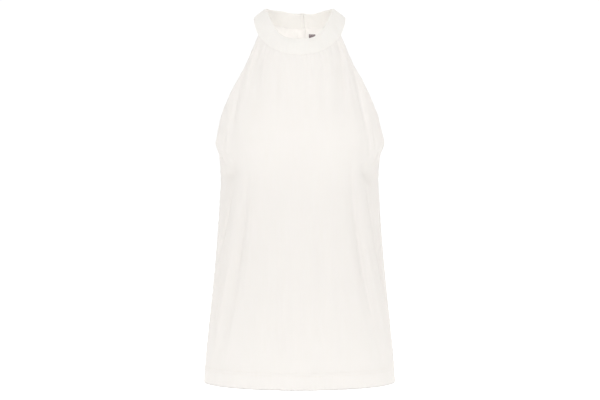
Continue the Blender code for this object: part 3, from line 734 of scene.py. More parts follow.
def swell_relief(swells, across, height):
    """How far broad swells lift the cloth at a place on it."""
    total = np.zeros(np.broadcast(across, height).shape)
    for swell in swells:
        off = (across - swell.across) / swell.half_across
        up = (height - swell.height) / swell.half_height
        total += swell.lift * np.exp(-off ** 2 - up ** 2)
    return total


def waves(table, height, side):
    """How far a table's waves lift the cloth along an edge."""
    return sum(wave.lift * np.sin(height / wave.run + wave.shift * side) for wave in table)


def edge_relief(panel, across, from_edge, from_band, height):
    """Small waves and puckers that the sewing draws up along a panel's edges."""
    side = panel.facing * np.sign(across)
    open_edge = smooth_step((height - UNDERARM_HEIGHT) / EDGE_EASE)
    total = waves(ARMHOLE_WAVES, height, side) * open_edge * np.exp(-(from_edge / ARMHOLE_WAVES_WIDTH) ** 2)
    total = total + (waves(SEAM_WAVES, height, side) * (1 - open_edge)
                     * np.exp(-(from_edge / SEAM_WAVES_WIDTH) ** 2))

    hem = smooth_step((HEM_DEPTH + EDGE_EASE - height) / EDGE_EASE)
    hem = hem * smooth_step(height / HEM_ROPE_RISE + HEM_ROPE_FOOT)
    twist = sum(rope.share * np.sin((across + rope.slant * height) / rope.run) for rope in HEM_ROPES)
    total = total + HEM_ROPE * twist * hem * smooth_step(from_edge / HEM_ROPE_EDGE)
    wave = np.sin(across / HEM_WAVE_RUNS[0]) * np.sin(across / HEM_WAVE_RUNS[1])
    total = total + HEM_WAVE * wave * smooth_step((HEM_WAVE_REACH - height) / HEM_WAVE_REACH)

    for pucker in panel.puckers:
        reach = np.clip(1 - from_band / pucker.reach, 0, 1) * smooth_step(from_band / PUCKER_EASE)
        total = total - pucker.depth * reach * np.exp(-((across - pucker.across) / pucker.width) ** 2)

    for row in HEM_ROWS:
        total = total - STITCH_SINK * np.exp(-((height - row) / STITCH_SINK_WIDTH) ** 2)
    sink = STITCH_SINK * np.exp(-((from_edge - ARMHOLE_ROW) / STITCH_SINK_WIDTH) ** 2)
    return total - sink * open_edge


def slanting_wave(slant, across, height):
    """A wave that runs slantwise over the cloth."""
    return np.sin(across / slant.across_run + height / slant.height_run + slant.shift)


def cloth_undulation(across, height):
    """How far the unevenness of hanging jersey lifts it."""
    total = 0
    for one in UNDULATIONS:
        first, second = (slanting_wave(slant, across, height) for slant in (one.first, one.second))
        total = total + one.lift * (first * second)
    return total


def out_of(form, share, height):
    """Direction out of a form, which is a function of share and height."""
    along = form(share + SHARE_STEP, height) - form(share - SHARE_STEP, height)
    rise = form(share, height + HEIGHT_STEP) - form(share, height - HEIGHT_STEP)
    return unit(np.cross(along, rise))


def seam_line(panel, share, past_slit):
    """Where a panel meets the band's lower edge."""
    turn = share * (FRONT_CORNER if panel.facing > 0 else BACK_CORNER)
    if panel.facing > 0:
        angle = turn
    else:
        angle = np.where(past_slit, turn - 180, turn + 180)
    foot, _, up, outward = band_frame(angle)
    return foot + up * SEAM_TUCK + outward * band_ripple(angle)[..., None], outward


def outer_face(panel, share, height, past_slit):
    """The outside of a panel: the plain form, its folds and creases, eased into the band at its top."""
    middle = plain_form(panel, share, height)
    across = across_cloth(panel, share, height)
    from_edge = half_girth_at(panel, height) - np.abs(across)
    from_band = top_of(panel) - height
    at_seam = 1 - smooth_step(from_edge / SEAM_HOLD)
    at_seam = at_seam * (1 - smooth_step((height - UNDERARM_HEIGHT) / SEAM_HOLD))
    held = (1 - at_seam) * smooth_step(from_band / BAND_HOLD)
    level = middle[..., 2]
    lift = held * (fold_relief(panel.folds, across, level) + swell_relief(panel.swells, across, level)
                   + cloth_undulation(across, level))
    creases = fold_relief(panel.creases, across, level)
    lift = lift + (1 - at_seam) * smooth_step(from_band / CREASE_HOLD) * creases
    lift = lift + swell_relief(panel.dimples, across, level)
    edges = edge_relief(panel, across, from_edge, from_band, level)
    lift = lift + edges * smooth_step(from_band / EDGE_HOLD)
    seam, _ = seam_line(panel, share, past_slit)
    form_top = plain_form(panel, share, np.full_like(height, top_of(panel)))
    eased = (seam - form_top) * (1 - smooth_step(from_band / BAND_HOLD))[..., None]
    away = out_of(lambda share, height: plain_form(panel, share, height), share, height)
    return middle + away * lift[..., None] + eased


def grid_normals(points):
    """Outward directions of a grid of points."""
    along = np.gradient(points, axis=1)
    rise = np.gradient(points, axis=0)
    return unit(np.cross(along, rise))


def squared_edges(panel, normals, share, height, past_slit):
    """Turns the directions at side seams and at the band square to them, so that the pieces meet."""
    at_side_seam = (np.abs(share) > 1 - 1e-6) & (height <= UNDERARM_HEIGHT)
    normals[..., 1] = np.where(at_side_seam, 0, normals[..., 1])
    normals[-1] = seam_line(panel, share[-1], past_slit[-1])[1]
    return unit(normals)


def turned_layers(panel, share, height, past_slit):
    """Thickness of the cloth: one layer, and two where an edge is turned inside."""
    from_edge = half_girth_at(panel, height) - np.abs(across_cloth(panel, share, height))
    hem = smooth_step((HEM_DEPTH - height) / HEM_EDGE) * smooth_step(from_edge / SEAM_PRESSED)
    armhole = smooth_step((ARMHOLE_TURN_WIDTH + TURN_EASE - from_edge) / TURN_EASE)
    armhole *= smooth_step((height - UNDERARM_HEIGHT) / TURN_START)
    armhole *= smooth_step((top_of(panel) - height) / PRESSED)
    return JERSEY * (1 + hem + armhole * (1 - hem))


def panel_heights(panel):
    """Heights of a panel's rows."""
    body_rows = PANEL_ROWS - len(HEM_HEIGHTS) - len(BELOW_BAND)
    body = np.linspace(BODY_START, top_of(panel) - BODY_END, body_rows)
    return np.concatenate([HEM_HEIGHTS, body, top_of(panel) - BELOW_BAND])


def crowded(shares):
    """Moves columns that are evenly spaced closer to the panel's edges."""
    return (1 + EDGE_CROWDING) * shares - EDGE_CROWDING * shares ** 3


def grid_quads(rows, columns):
    """Faces of a grid of points, counted along each row."""
    corners = [(i * columns + j) for i in range(rows - 1) for j in range(columns - 1)]
    return [(a, a + 1, a + columns + 1, a + columns) for a in corners]


def cloth_shell(name, outside, normals, thickness, cloth_uv, quads, material):
    """Closes a sheet into a shell of cloth: its outside, its inside and a round rim on every edge."""
    outside, normals = outside.reshape(-1, 3), normals.reshape(-1, 3)
    thickness, cloth_uv = thickness.reshape(-1, 1), cloth_uv.reshape(-1, 2)
    used = sorted({point for quad in quads for point in quad})
    order = {old: new for new, old in enumerate(used)}
    quads = [tuple(order[point] for point in quad) for quad in quads]
    outside, normals = outside[used], normals[used]
    thickness, cloth_uv = thickness[used], cloth_uv[used]
    edges = {(quad[i - 1], quad[i]) for quad in quads for i in range(len(quad))}
    rim = sorted((a, b) for a, b in edges if (b, a) not in edges)

    away = np.zeros_like(outside)
    for a, b in rim:
        side = np.cross(unit(outside[b] - outside[a]), normals[a] + normals[b])
        away[a] += side
        away[b] += side
    on_rim = np.array(sorted({a for a, _ in rim}))
    away[on_rim] = unit(away[on_rim])
    half = thickness / 2
    outside = outside - away * half
    centre = outside - normals * half
    inside = centre - normals * half

    count, rings = len(outside), len(on_rim)
    place = {point: i for i, point in enumerate(on_rim)}
    points, uvs = [outside, inside], [cloth_uv, cloth_uv]
    for turn in np.radians(RIM_TURNS):
        ring = centre + (normals * np.cos(turn) + away * np.sin(turn)) * half
        points.append(ring[on_rim])
        uvs.append(cloth_uv[on_rim])
    faces = quads + [tuple(count + point for point in reversed(quad)) for quad in quads]
    for rim_edge in rim:
        a, b = ([end] + [2 * count + k * rings + place[end] for k in range(len(RIM_TURNS))] + [count + end]
                for end in rim_edge)
        faces += [(b[k], a[k], a[k + 1], b[k + 1]) for k in range(len(a) - 1)]
    return add_piece(name, np.concatenate(points), faces, np.concatenate(uvs), material)


single_jersey = jersey("cotton_jersey", IVORY_JERSEY, IVORY_JERSEY_SHADE, LET_THROUGH)
front_form = Panel(1, FRONT_SECTIONS + [band_section(1)], FRONT_FOLDS, FRONT_CREASES,
                   FRONT_SWELLS, FRONT_DIMPLES, FRONT_PUCKERS)
height, share = np.meshgrid(
    panel_heights(front_form), crowded(np.linspace(-1, 1, PANEL_COLUMNS)), indexing="ij")
past_slit = np.zeros(share.shape, bool)
outside = outer_face(front_form, share, height, past_slit)
front = cloth_shell(
    "front_cloth", outside,
    squared_edges(front_form, grid_normals(outside), share, height, past_slit),
    turned_layers(front_form, share, height, past_slit),
    np.stack([across_cloth(front_form, share, height), height], axis=-1),
    grid_quads(*share.shape), single_jersey)
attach(front, "root")
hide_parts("front")

# ----------------------------------------------------------------------
# Back. One panel of the same jersey, slit from the band down beside its centre. The slit's edges are
# turned inside, the left one further, where the button end of the band is.
SLIT_SHARE = -7.1 / BACK_CORNER
SLIT_FOOT_HEIGHT = 497
SLIT_GAP = 0.15  # which closes at the slit's foot
INNER_FACING_WIDTH = 13  # the turned edge at the button's end of the band
OUTER_FACING_WIDTH = 6

BACK_SECTIONS = [
    Section(0, 110, 0, 157.7, 0),
    Section(35, 108.5, 35, 155.3, 0),
    Section(100, 104, 100, 148.8, 0),
    Section(167, 99, 167, 141.5, 0),
    Section(233, 96, 233, 136, 0),
    Section(299, 96, 299, 131.5, 0),
    Section(332, 97, 332, 129.8, 0),
    Section(UNDERARM_HEIGHT, 99, UNDERARM_HEIGHT, 132.4, 0),
    Section(380, 99.5, 376.5, 131.6, 12),
    Section(388, 100, 385.5, 130, 21),
    Section(424, 101.5, 427, 121, 43),
    Section(455, 101.5, 461, 110, 54),
    Section(485, 99.5, 493, 98.5, 60),
    Section(515, 94.5, 524, 87, 60),
    Section(545, 86, 554, 76.5, 53.5),
    Section(570, 77, 578, 69, 45),
]
BACK_FOLDS = [
    Fold(-66, 452, -82, 660, 3, 9, 4.6),  # from the band's corners
    Fold(61, 440, 84, 660, -2, 9.5, 5),
    Fold(-104, 395, -88, 560, 0, 9, 3),
    Fold(107, 385, 86, 555, -2, 9, 3.4),
    Fold(30, 455, 34, 650, 0, 7, 1.6),
    Fold(-92, 55, -58, 390, 6, 12, 4),  # from the shoulder blades to the hem
    Fold(104, 48, 63, 400, -8, 12, 4.3),
    Fold(-140, 62, -112, 350, 4, 11.5, 4.2),
    Fold(147, 75, 117, 345, -3, 12, 3.8),
    Fold(-172, 40, -150, 260, 0, 11, 2.6),
    Fold(176, 30, 156, 240, 0, 11, 2.8),
    Fold(-30, -50, -22, 330, 4, 12, 2.4),
    Fold(34, -50, 24, 315, -3, 12, 2.2),
]
BACK_CREASES = [
    Fold(-84, 430, -76, 600, 2, 4, 0.8),  # beside the folds from the band's corners
    Fold(86, 424, 75, 602, -2, 4.2, 0.9),
    Fold(-46, 500, -54, 640, 0, 3.6, 0.6),
    Fold(46, 494, 56, 640, 0, 3.4, 0.7),
    Fold(-22, 440, -12, 520, -2, 4.5, 0.8),  # below the slit
    Fold(8, 436, -4, 516, 2, 4.5, 0.7),
    Fold(-182, 330, -134, 372, 4, 4.4, 1.1),  # drawn towards the underarm
    Fold(183, 326, 136, 370, -4, 4.4, 1),
    Fold(-180, 300, -142, 338, 3, 4.6, 0.9),
    Fold(181, 304, 140, 342, -3, 4.6, 0.9),
    Fold(-120, 100, -92, 270, 4, 5, 0.9),  # between the long folds
    Fold(124, 104, 92, 285, -4, 5.2, 0.8),
    Fold(-62, 70, -44, 240, 3, 6, 0.7),
    Fold(70, 60, 46, 236, -3, 6, 0.7),
    Fold(3, 120, 0, 330, 0, 8, 0.8),
]
BACK_SWELLS = [
    Swell(-62, 430, 48, 60, 4),  # the shoulder blades
    Swell(62, 430, 48, 60, 4),
    Swell(0, 250, 60, 80, -4),  # the hollow of the back
]
BACK_DIMPLES = [
    Swell(-7.8, 578, 2.4, 11, 1.5),  # the slit's edges, which turn out a little under the band
]
BACK_PUCKERS = [
    Pucker(-60, 26, 2.6, 0.7), Pucker(-50, 14, 2.2, 0.45), Pucker(-38, 20, 2.6, 0.55),
    Pucker(-25, 12, 2, 0.35), Pucker(4, 14, 2.2, 0.4), Pucker(16, 10, 2, 0.3),
    Pucker(28, 19, 2.6, 0.5), Pucker(41, 13, 2.2, 0.4), Pucker(53, 25, 2.6, 0.65),
    Pucker(63, 16, 2.4, 0.5),
]


def slit_half_gap(height):
    """Half the width of the slit, which closes at its foot."""
    top = top_of(back_form)
    knots = [SLIT_FOOT_HEIGHT, (SLIT_FOOT_HEIGHT + top) / 2, top]
    return smooth_curve(knots, [0, SLIT_GAP / 2, SLIT_GAP / 2], height)


def beside_slit(share, height, past_slit):
    """Shares moved away from the slit's line, to leave its gap open."""
    shift = np.where(height > SLIT_FOOT_HEIGHT, slit_half_gap(height), 0)
    shift = shift / half_girth_at(back_form, height)
    left = share - shift * (share + 1) / (SLIT_SHARE + 1)
    right = share + shift * (1 - share) / (1 - SLIT_SHARE)
    return np.where(past_slit, right, left)


def slit_facing(share, height, past_slit):
    """The slit's edges, turned inside."""
    slit = across_cloth(back_form, np.full_like(share, SLIT_SHARE), height)
    distance = np.abs(across_cloth(back_form, share, height) - slit)
    width = np.where(past_slit, INNER_FACING_WIDTH, OUTER_FACING_WIDTH)
    facing = smooth_step((width + TURN_EASE - distance) / TURN_EASE)
    pressed = smooth_step((top_of(back_form) - height) / PRESSED)
    return JERSEY * facing * pressed * smooth_step((height - SLIT_FOOT_HEIGHT) / TURN_START)


back_form = Panel(-1, BACK_SECTIONS + [band_section(-1)], BACK_FOLDS, BACK_CREASES,
                  BACK_SWELLS, BACK_DIMPLES, BACK_PUCKERS)
rows = panel_heights(back_form)
foot_row = int(np.argmin(np.abs(rows - SLIT_FOOT_HEIGHT)))
rows[foot_row] = SLIT_FOOT_HEIGHT
even_shares = crowded(np.linspace(-1, 1, PANEL_COLUMNS))
left_columns = int(np.argmin(np.abs(even_shares - SLIT_SHARE))) + 1
nearest = even_shares[left_columns - 1]
left_shares = (even_shares[:left_columns] + 1) * (SLIT_SHARE + 1) / (nearest + 1) - 1
right_shares = 1 - (1 - even_shares[left_columns - 1:]) * (1 - SLIT_SHARE) / (1 - nearest)
height, share = np.meshgrid(rows, np.concatenate([left_shares, right_shares]), indexing="ij")
past_slit = np.zeros(share.shape, bool)
past_slit[:, left_columns:] = True
share = beside_slit(share, height, past_slit)
outside = outer_face(back_form, share, height, past_slit)
normals = np.concatenate(
    [grid_normals(outside[:, :left_columns]), grid_normals(outside[:, left_columns:])], axis=1)
shared = unit(normals[:foot_row + 1, left_columns - 1] + normals[:foot_row + 1, left_columns])
normals[:foot_row + 1, left_columns - 1] = shared
normals[:foot_row + 1, left_columns] = shared
columns = share.shape[1]
quads = [quad for quad in grid_quads(*share.shape) if quad[0] % columns != left_columns - 1]
merged = {i * columns + left_columns: i * columns + left_columns - 1 for i in range(foot_row + 1)}
quads = [tuple(merged.get(point, point) for point in quad) for quad in quads]
back = cloth_shell(
    "back_cloth", outside, squared_edges(back_form, normals, share, height, past_slit),
    turned_layers(back_form, share, height, past_slit) + slit_facing(share, height, past_slit),
    np.stack([across_cloth(back_form, share, height), height], axis=-1), quads, single_jersey)
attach(back, "root")
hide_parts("back")

# ----------------------------------------------------------------------
# Side seam allowances. The raw edges that a side seam joins lie inside, overlocked together and pressed
# flat to the back. At the band there are none to see, because the folded band encloses the edges.
ALLOWANCE_WIDTH = 6
ALLOWANCE_LAYER = 0.6  # two pressed raw edges
ALLOWANCE_STEPS = (0.8, 2.2, 4.4, ALLOWANCE_WIDTH)  # rows or columns of the strip, from the seam
ALLOWANCE_LAP = 1.2  # what shows on the other side of the seam
ALLOWANCE_CLOTH = (0, 2, 3.4, 5.6, 7.7)  # the knit's place across the strip
ALLOWANCE_FOOT = 1.5
ALLOWANCE_TOP = UNDERARM_HEIGHT - 6
ALLOWANCE_ROWS = 150
LAID_ON = 0.1  # between a piece and the cloth that it lies on
SHARE_ROUNDS = 5  # in which a share comes close enough


def share_at(panel, across, height):
    """Finds the share at a length along the cloth from the panel's centre line."""
    half_girth = half_girth_at(panel, height)
    share = across / half_girth
    for _ in range(SHARE_ROUNDS):
        share = share + (across - across_cloth(panel, share, height)) / half_girth
    return share


def cloth_layers(panel, share, height, past_slit):
    """Thickness of a panel, with the back's slit facing."""
    thickness = turned_layers(panel, share, height, past_slit)
    if panel.facing < 0:
        thickness = thickness + slit_facing(share, height, past_slit)
    return thickness


def on_cloth(panel, share, height, past_slit, inside):
    """Places on a panel's outside or inside, and the direction out of the cloth there."""
    point = outer_face(panel, share, height, past_slit)
    away = out_of(lambda share, height: outer_face(panel, share, height, past_slit), share, height)
    if not inside:
        return point, away
    return point - away * cloth_layers(panel, share, height, past_slit)[..., None], -away


def laid_strip(name, points, away, thickness, cloth_uv, material):
    """Closes a grid of places on the cloth's inside into a strip that lies on it. Gives its face too."""
    face = points + away * (LAID_ON + thickness)
    strip = cloth_shell(name, face[:, ::-1], away[:, ::-1], np.full(points.shape[:2], thickness),
                        cloth_uv[:, ::-1], grid_quads(*points.shape[:2]), material)
    return strip, face


def side_allowance(name, side):
    """The edges that a side seam joins, pressed to the back. The side is 1 at the wearer's left."""
    heights = np.linspace(ALLOWANCE_FOOT, ALLOWANCE_TOP, ALLOWANCE_ROWS)
    height = np.tile(heights[:, None], (1, len(ALLOWANCE_STEPS)))
    half_girth = half_girth_at(back_form, height)
    share = share_at(back_form, -side * (half_girth - np.array(ALLOWANCE_STEPS)), height)
    none = np.zeros(share.shape, bool)
    points, away = on_cloth(back_form, share, height, none, inside=True)
    edge = share_at(front_form, side * (half_girth[:, :1] - ALLOWANCE_LAP), height[:, :1])
    lap, lap_away = on_cloth(front_form, edge, height[:, :1], none[:, :1], inside=True)
    points = np.concatenate([lap, points], axis=1)
    away = np.concatenate([lap_away, away], axis=1)
    cloth_uv = np.stack(np.meshgrid(ALLOWANCE_CLOTH, heights), axis=-1)
    if side < 0:
        points, away, cloth_uv = points[:, ::-1], away[:, ::-1], cloth_uv[:, ::-1]
    strip, _ = laid_strip(name, points, away, ALLOWANCE_LAYER, cloth_uv, doubled_jersey)
    return strip


allowances = [side_allowance("side_allowance_left", 1), side_allowance("side_allowance_right", -1)]
for allowance in allowances:
    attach(allowance, "root")

# ----------------------------------------------------------------------
# Stitching. Ivory spun polyester thread: two rows of twin-needle stitches round the hem, one along
# each armhole's turned edge, and one down each side of the slit. Each shows outside and inside.
STITCH_PITCH = 2.7
STITCH_LENGTH = 2.3
THREAD_RADIUS = 0.2
BEAD_SIDES = 6  # of the bead that is drawn out into one stitch
BEAD_RINGS = 5
HEM_ROW_END = 0.997  # share of the panel's half width at which a hem's row ends
HEM_ROW_POINTS = 500
ARMHOLE_ROW_START = 3  # above the underarm
ARMHOLE_ROW_POINTS = 260
SLIT_ROW_START = 2  # above the slit's foot
SLIT_ROW_POINTS = 120
ROW_TOP = 1  # below the band
SLIT_ROW_INNER = 5.6  # the row of stitches beside the slit, from the slit's edge
SLIT_ROW_OUTER = 4.4
THREAD_TONES = 300  # changes of tone in a metre
IVORY_THREAD = "#F3EFEA"
IVORY_THREAD_SHADE = "#EBE7E1"

# Spun thread is matt, with a faint fuzz and a slight change of tone from stitch to stitch.
thread, thread_tree, thread_shader = add_material(
    "spun_polyester_thread", {"Roughness": 0.7, "Sheen Weight": 0.1})
thread_place = add_node(thread_tree, "ShaderNodeTexCoord")
thread_tone = add_node(thread_tree, "ShaderNodeTexNoise",
                       {"Vector": thread_place.outputs["Object"], "Scale": THREAD_TONES})
thread_tint = add_node(
    thread_tree, "ShaderNodeMix",
    {0: thread_tone, 6: linear(IVORY_THREAD_SHADE), 7: linear(IVORY_THREAD)}, data_type="RGBA")
thread_tree.links.new(thread_tint.outputs[2], thread_shader.inputs["Base Color"])


def stitch_tree():
    """Lays one stitch at each step along the rows: a thread's bow, turned to the row's lay."""
    tree = bpy.data.node_groups.new("stitches", "GeometryNodeTree")
    face = tree.interface
    face.new_socket("Geometry", in_out="OUTPUT", socket_type="NodeSocketGeometry")
    face.new_socket("Geometry", in_out="INPUT", socket_type="NodeSocketGeometry")
    for name in ("Pitch", "Stitch length", "Thread radius"):
        face.new_socket(name, in_out="INPUT", socket_type="NodeSocketFloat")
    face.new_socket("Thread", in_out="INPUT", socket_type="NodeSocketMaterial")
    given = add_node(tree, "NodeGroupInput")
    radius = given.outputs["Thread radius"]
    rows = add_node(tree, "GeometryNodeMeshToCurve", {0: given.outputs["Geometry"]})
    steps = add_node(tree, "GeometryNodeResampleCurve",
                     {"Curve": rows, "Length": given.outputs["Pitch"]}, mode="LENGTH")
    bead = add_node(tree, "GeometryNodeMeshUVSphere",
                    {"Segments": BEAD_SIDES, "Rings": BEAD_RINGS, "Radius": 1})
    half = add_node(
        tree, "ShaderNodeMath", {0: given.outputs["Stitch length"], 1: 0.5}, operation="MULTIPLY")
    size = add_node(tree, "ShaderNodeCombineXYZ", {0: half, 1: radius, 2: radius})
    bow = add_node(tree, "GeometryNodeTransform", {"Geometry": bead, "Scale": size})
    lay = add_node(tree, "GeometryNodeInputNamedAttribute", {"Name": "lay"}, data_type="FLOAT_VECTOR")
    turned = add_node(tree, "FunctionNodeAlignRotationToVector", {"Vector": lay}, axis="X")
    stitches = add_node(
        tree, "GeometryNodeInstanceOnPoints", {"Points": steps, "Instance": bow, "Rotation": turned})
    solid = add_node(tree, "GeometryNodeRealizeInstances", {0: stitches})
    smooth = add_node(tree, "GeometryNodeSetShadeSmooth", {"Geometry": solid})
    dressed = add_node(
        tree, "GeometryNodeSetMaterial", {"Geometry": smooth, "Material": given.outputs["Thread"]})
    add_node(tree, "NodeGroupOutput", {0: dressed})
    return tree


def stitched(name, rows, pitch=STITCH_PITCH, length=STITCH_LENGTH, radius=THREAD_RADIUS, lays=None):
    """Makes one mesh of all the stitches along rows of points. They lie along the row or as told."""
    points, edges, lay = [], [], []
    for number, row in enumerate(rows):
        start = len(points)
        points.extend(placed(row).tolist())
        edges.extend((start + i, start + i + 1) for i in range(len(row) - 1))
        lay.extend((np.gradient(row, axis=0) if lays is None else lays[number]).tolist())
    mesh = bpy.data.meshes.new(name)
    mesh.from_pydata(points, edges, [])
    mesh.attributes.new("lay", "FLOAT_VECTOR", "POINT").data.foreach_set("vector", np.ravel(lay))
    seam = add_object(name, mesh)
    modifier = seam.modifiers.new("stitches", "NODES")
    modifier.node_group = stitches_tree
    sizes = {"Pitch": pitch * MM, "Stitch length": length * MM, "Thread radius": radius * MM,
             "Thread": thread}
    for socket in stitches_tree.interface.items_tree:
        if socket.name in sizes:
            modifier[socket.identifier] = sizes[socket.name]
    graph = bpy.context.evaluated_depsgraph_get()
    solid = bpy.data.meshes.new_from_object(seam.evaluated_get(graph))
    seam.modifiers.remove(modifier)
    seam.data = solid
    return seam


def both_faces(panel, share, height, past_slit):
    """A row of places on a panel's outside, and the same row on its inside."""
    return [on_cloth(panel, share, height, past_slit, inside)[0] for inside in (False, True)]


def hem_rows(panel):
    """The hem's two rows."""
    found = []
    for level in HEM_ROWS:
        share = np.linspace(-HEM_ROW_END, HEM_ROW_END, HEM_ROW_POINTS)
        found += both_faces(panel, share, np.full_like(share, level), np.zeros(share.shape, bool))
    return found


def armhole_rows(panel):
    """The row along each armhole's edge."""
    height = np.linspace(UNDERARM_HEIGHT + ARMHOLE_ROW_START, top_of(panel) - ROW_TOP, ARMHOLE_ROW_POINTS)
    found = []
    for side in (-1, 1):
        share = share_at(panel, side * (half_girth_at(panel, height) - ARMHOLE_ROW), height)
        found += both_faces(panel, share, height, np.full(share.shape, side > 0))
    return found


def slit_rows():
    """The row down each side of the slit."""
    height = np.linspace(SLIT_FOOT_HEIGHT + SLIT_ROW_START, top_of(back_form) - ROW_TOP, SLIT_ROW_POINTS)
    slit = across_cloth(back_form, np.full_like(height, SLIT_SHARE), height)
    found = []
    for past, step in ((False, -SLIT_ROW_OUTER), (True, SLIT_ROW_INNER)):
        share = share_at(back_form, slit + step, height)
        found += both_faces(back_form, share, height, np.full(share.shape, past))
    return found


stitches_tree = stitch_tree()
seams = {
    "hem_stitches_front": hem_rows(front_form),
    "hem_stitches_back": hem_rows(back_form),
    "armhole_stitches_front": armhole_rows(front_form),
    "armhole_stitches_back": armhole_rows(back_form),
    "slit_stitches": slit_rows(),
}
for name, rows in seams.items():
    seam = stitched(name, rows)
    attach(seam, "root")

# ----------------------------------------------------------------------
# Band ends. Each end of the folded band is turned in and sewn shut, with one row of stitches across
# it, and the outer end has a buttonhole worked in close satin stitches.
END_ROW = 5.6  # the row of stitches, from each end
END_ROW_SHARES = np.linspace(0.04, 0.94, 30)  # of the way up the band
BUTTON_ANGLE = 182.5  # middle of the lap
BUTTON_RADIUS = 5.75
HOLE_LENGTH = 13.5
HOLE_HALF_WIDTH = 1  # from the hole's line to the middle of its lips
HOLE_ASIDE = 2.6  # the button lies near the hole's end
HOLE_TURN_POINTS = 13  # in the half turn at each end
SATIN_PITCH = 0.5
SATIN_LENGTH = 1.9
SATIN_RADIUS = 0.26


def band_place(angle, share, outside):
    """A place on the band's outside or inside, by its angle and its share of the way up."""
    angle, share = np.broadcast_arrays(np.asarray(angle, float), np.asarray(share, float))
    foot, top, up, outward = band_frame(angle)
    width = np.linalg.norm(top - foot, axis=-1, keepdims=True)
    out = BAND_PROUD + band_bulge(share) - (0 if outside else BAND_THICKNESS)
    return foot + up * width * share[..., None] + outward * np.asarray(out)[..., None]


def degrees_for(length):
    """The turn round the neck that a length along the band at the lap takes."""
    here, there = band_place(180, 0.5, True), band_place(181, 0.5, True)
    return length / np.linalg.norm(there - here)


end_rows = [band_place(angle, END_ROW_SHARES, outside)
            for angle in (INNER_END + degrees_for(END_ROW), OUTER_END - degrees_for(END_ROW))
            for outside in (True, False)]
end_stitches = stitched("band_end_stitches", end_rows)
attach(end_stitches, "root")

# The buttonhole's stitches lie across a line that runs right round it, with a half turn at each end.
foot, top, up, outward = (value[0] for value in band_frame(np.array([BUTTON_ANGLE])))
aside = np.cross(up, outward)
button_seat = (foot + top) / 2 + outward * (BAND_PROUD + BAND_BULGE)
straight = HOLE_LENGTH / 2 - HOLE_HALF_WIDTH
half_turn = np.linspace(-90, 90, HOLE_TURN_POINTS)
turns = np.radians([*half_turn, *(half_turn + 180), -90])
centres = np.array([straight] * HOLE_TURN_POINTS + [-straight] * HOLE_TURN_POINTS + [straight])
hole_along = centres + HOLE_HALF_WIDTH * np.cos(turns) + HOLE_ASIDE
hole_up = HOLE_HALF_WIDTH * np.sin(turns)
lips = button_seat + aside * hole_along[:, None] + up * hole_up[:, None]
lays = aside * np.cos(turns)[:, None] + up * np.sin(turns)[:, None]
buttonhole = stitched("buttonhole_stitches", [lips], SATIN_PITCH, SATIN_LENGTH, SATIN_RADIUS, [lays])
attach(buttonhole, "root")

# ----------------------------------------------------------------------
# Button. Four-hole button of ivory resin, turned with a rim round a shallow dish and polished. It is
# sewn to the inner end of the band with a cross of thread, and comes through the outer end.
BUTTON_SIDES = 64
BUTTON_HOLE_SIDES = 16
BUTTON_EDGE = 40  # degrees of turn past which an edge stays sharp
BUTTON_HOLE_RADIUS = 0.8
BUTTON_HOLE_CENTRE = 1.7
BUTTON_LIFT = 0.35  # above the buttonhole's lips
STRANDS = (-0.28, 0, 0.28)
STRAND_HEIGHT = 1.5  # above the button's underside
STRAND_PATH = (0.02, 0.07)  # shorter than a step, so that it takes one stitch
STRAND_LENGTH = 2 * BUTTON_HOLE_CENTRE * np.sqrt(2) + 1
STRAND_RADIUS = 0.22
RESIN_CLOUDS = 220  # in a metre
IVORY_RESIN = "#ECE6DA"
IVORY_RESIN_CLOUD = "#F4F0E8"

# From the middle of the face over the rim to the middle of the underside: radius and height.
ButtonPoint = namedtuple("ButtonPoint", "radius height")
BUTTON_PROFILE = [
    ButtonPoint(3.3, 1.35), ButtonPoint(3.75, 1.5), ButtonPoint(4.1, 1.95), ButtonPoint(4.5, 2.25),
    ButtonPoint(4.95, 2.25), ButtonPoint(5.4, 2), ButtonPoint(5.7, 1.55), ButtonPoint(BUTTON_RADIUS, 1.1),
    ButtonPoint(5.6, 0.6), ButtonPoint(5.2, 0.2), ButtonPoint(4.5, 0),
]

# Cast resin is even and glossy, with a faint pearly cloud in it.
resin, resin_tree, resin_shader = add_material("polished_polyester_resin", {"Roughness": 0.22, "IOR": 1.55})
resin_place = add_node(resin_tree, "ShaderNodeTexCoord")
resin_cloud = add_node(
    resin_tree, "ShaderNodeTexNoise",
    {"Vector": resin_place.outputs["Object"], "Scale": RESIN_CLOUDS, "Detail": 3, "Distortion": 1.2})
resin_tint = add_node(
    resin_tree, "ShaderNodeMix",
    {0: resin_cloud, 6: linear(IVORY_RESIN), 7: linear(IVORY_RESIN_CLOUD)}, data_type="RGBA")
resin_tree.links.new(resin_tint.outputs[2], resin_shader.inputs["Base Color"])


def ring_of_points(form, x, y, radius, level, sides):
    """Points right round an upright axis."""
    angles = np.linspace(0, 2 * np.pi, sides, endpoint=False)
    return [form.verts.new((x + radius * np.cos(a), y + radius * np.sin(a), level)) for a in angles]


def join_rings(form, upper, lower):
    """A band of faces between two rings."""
    for i in range(len(upper)):
        form.faces.new((upper[i - 1], lower[i - 1], lower[i], upper[i]))


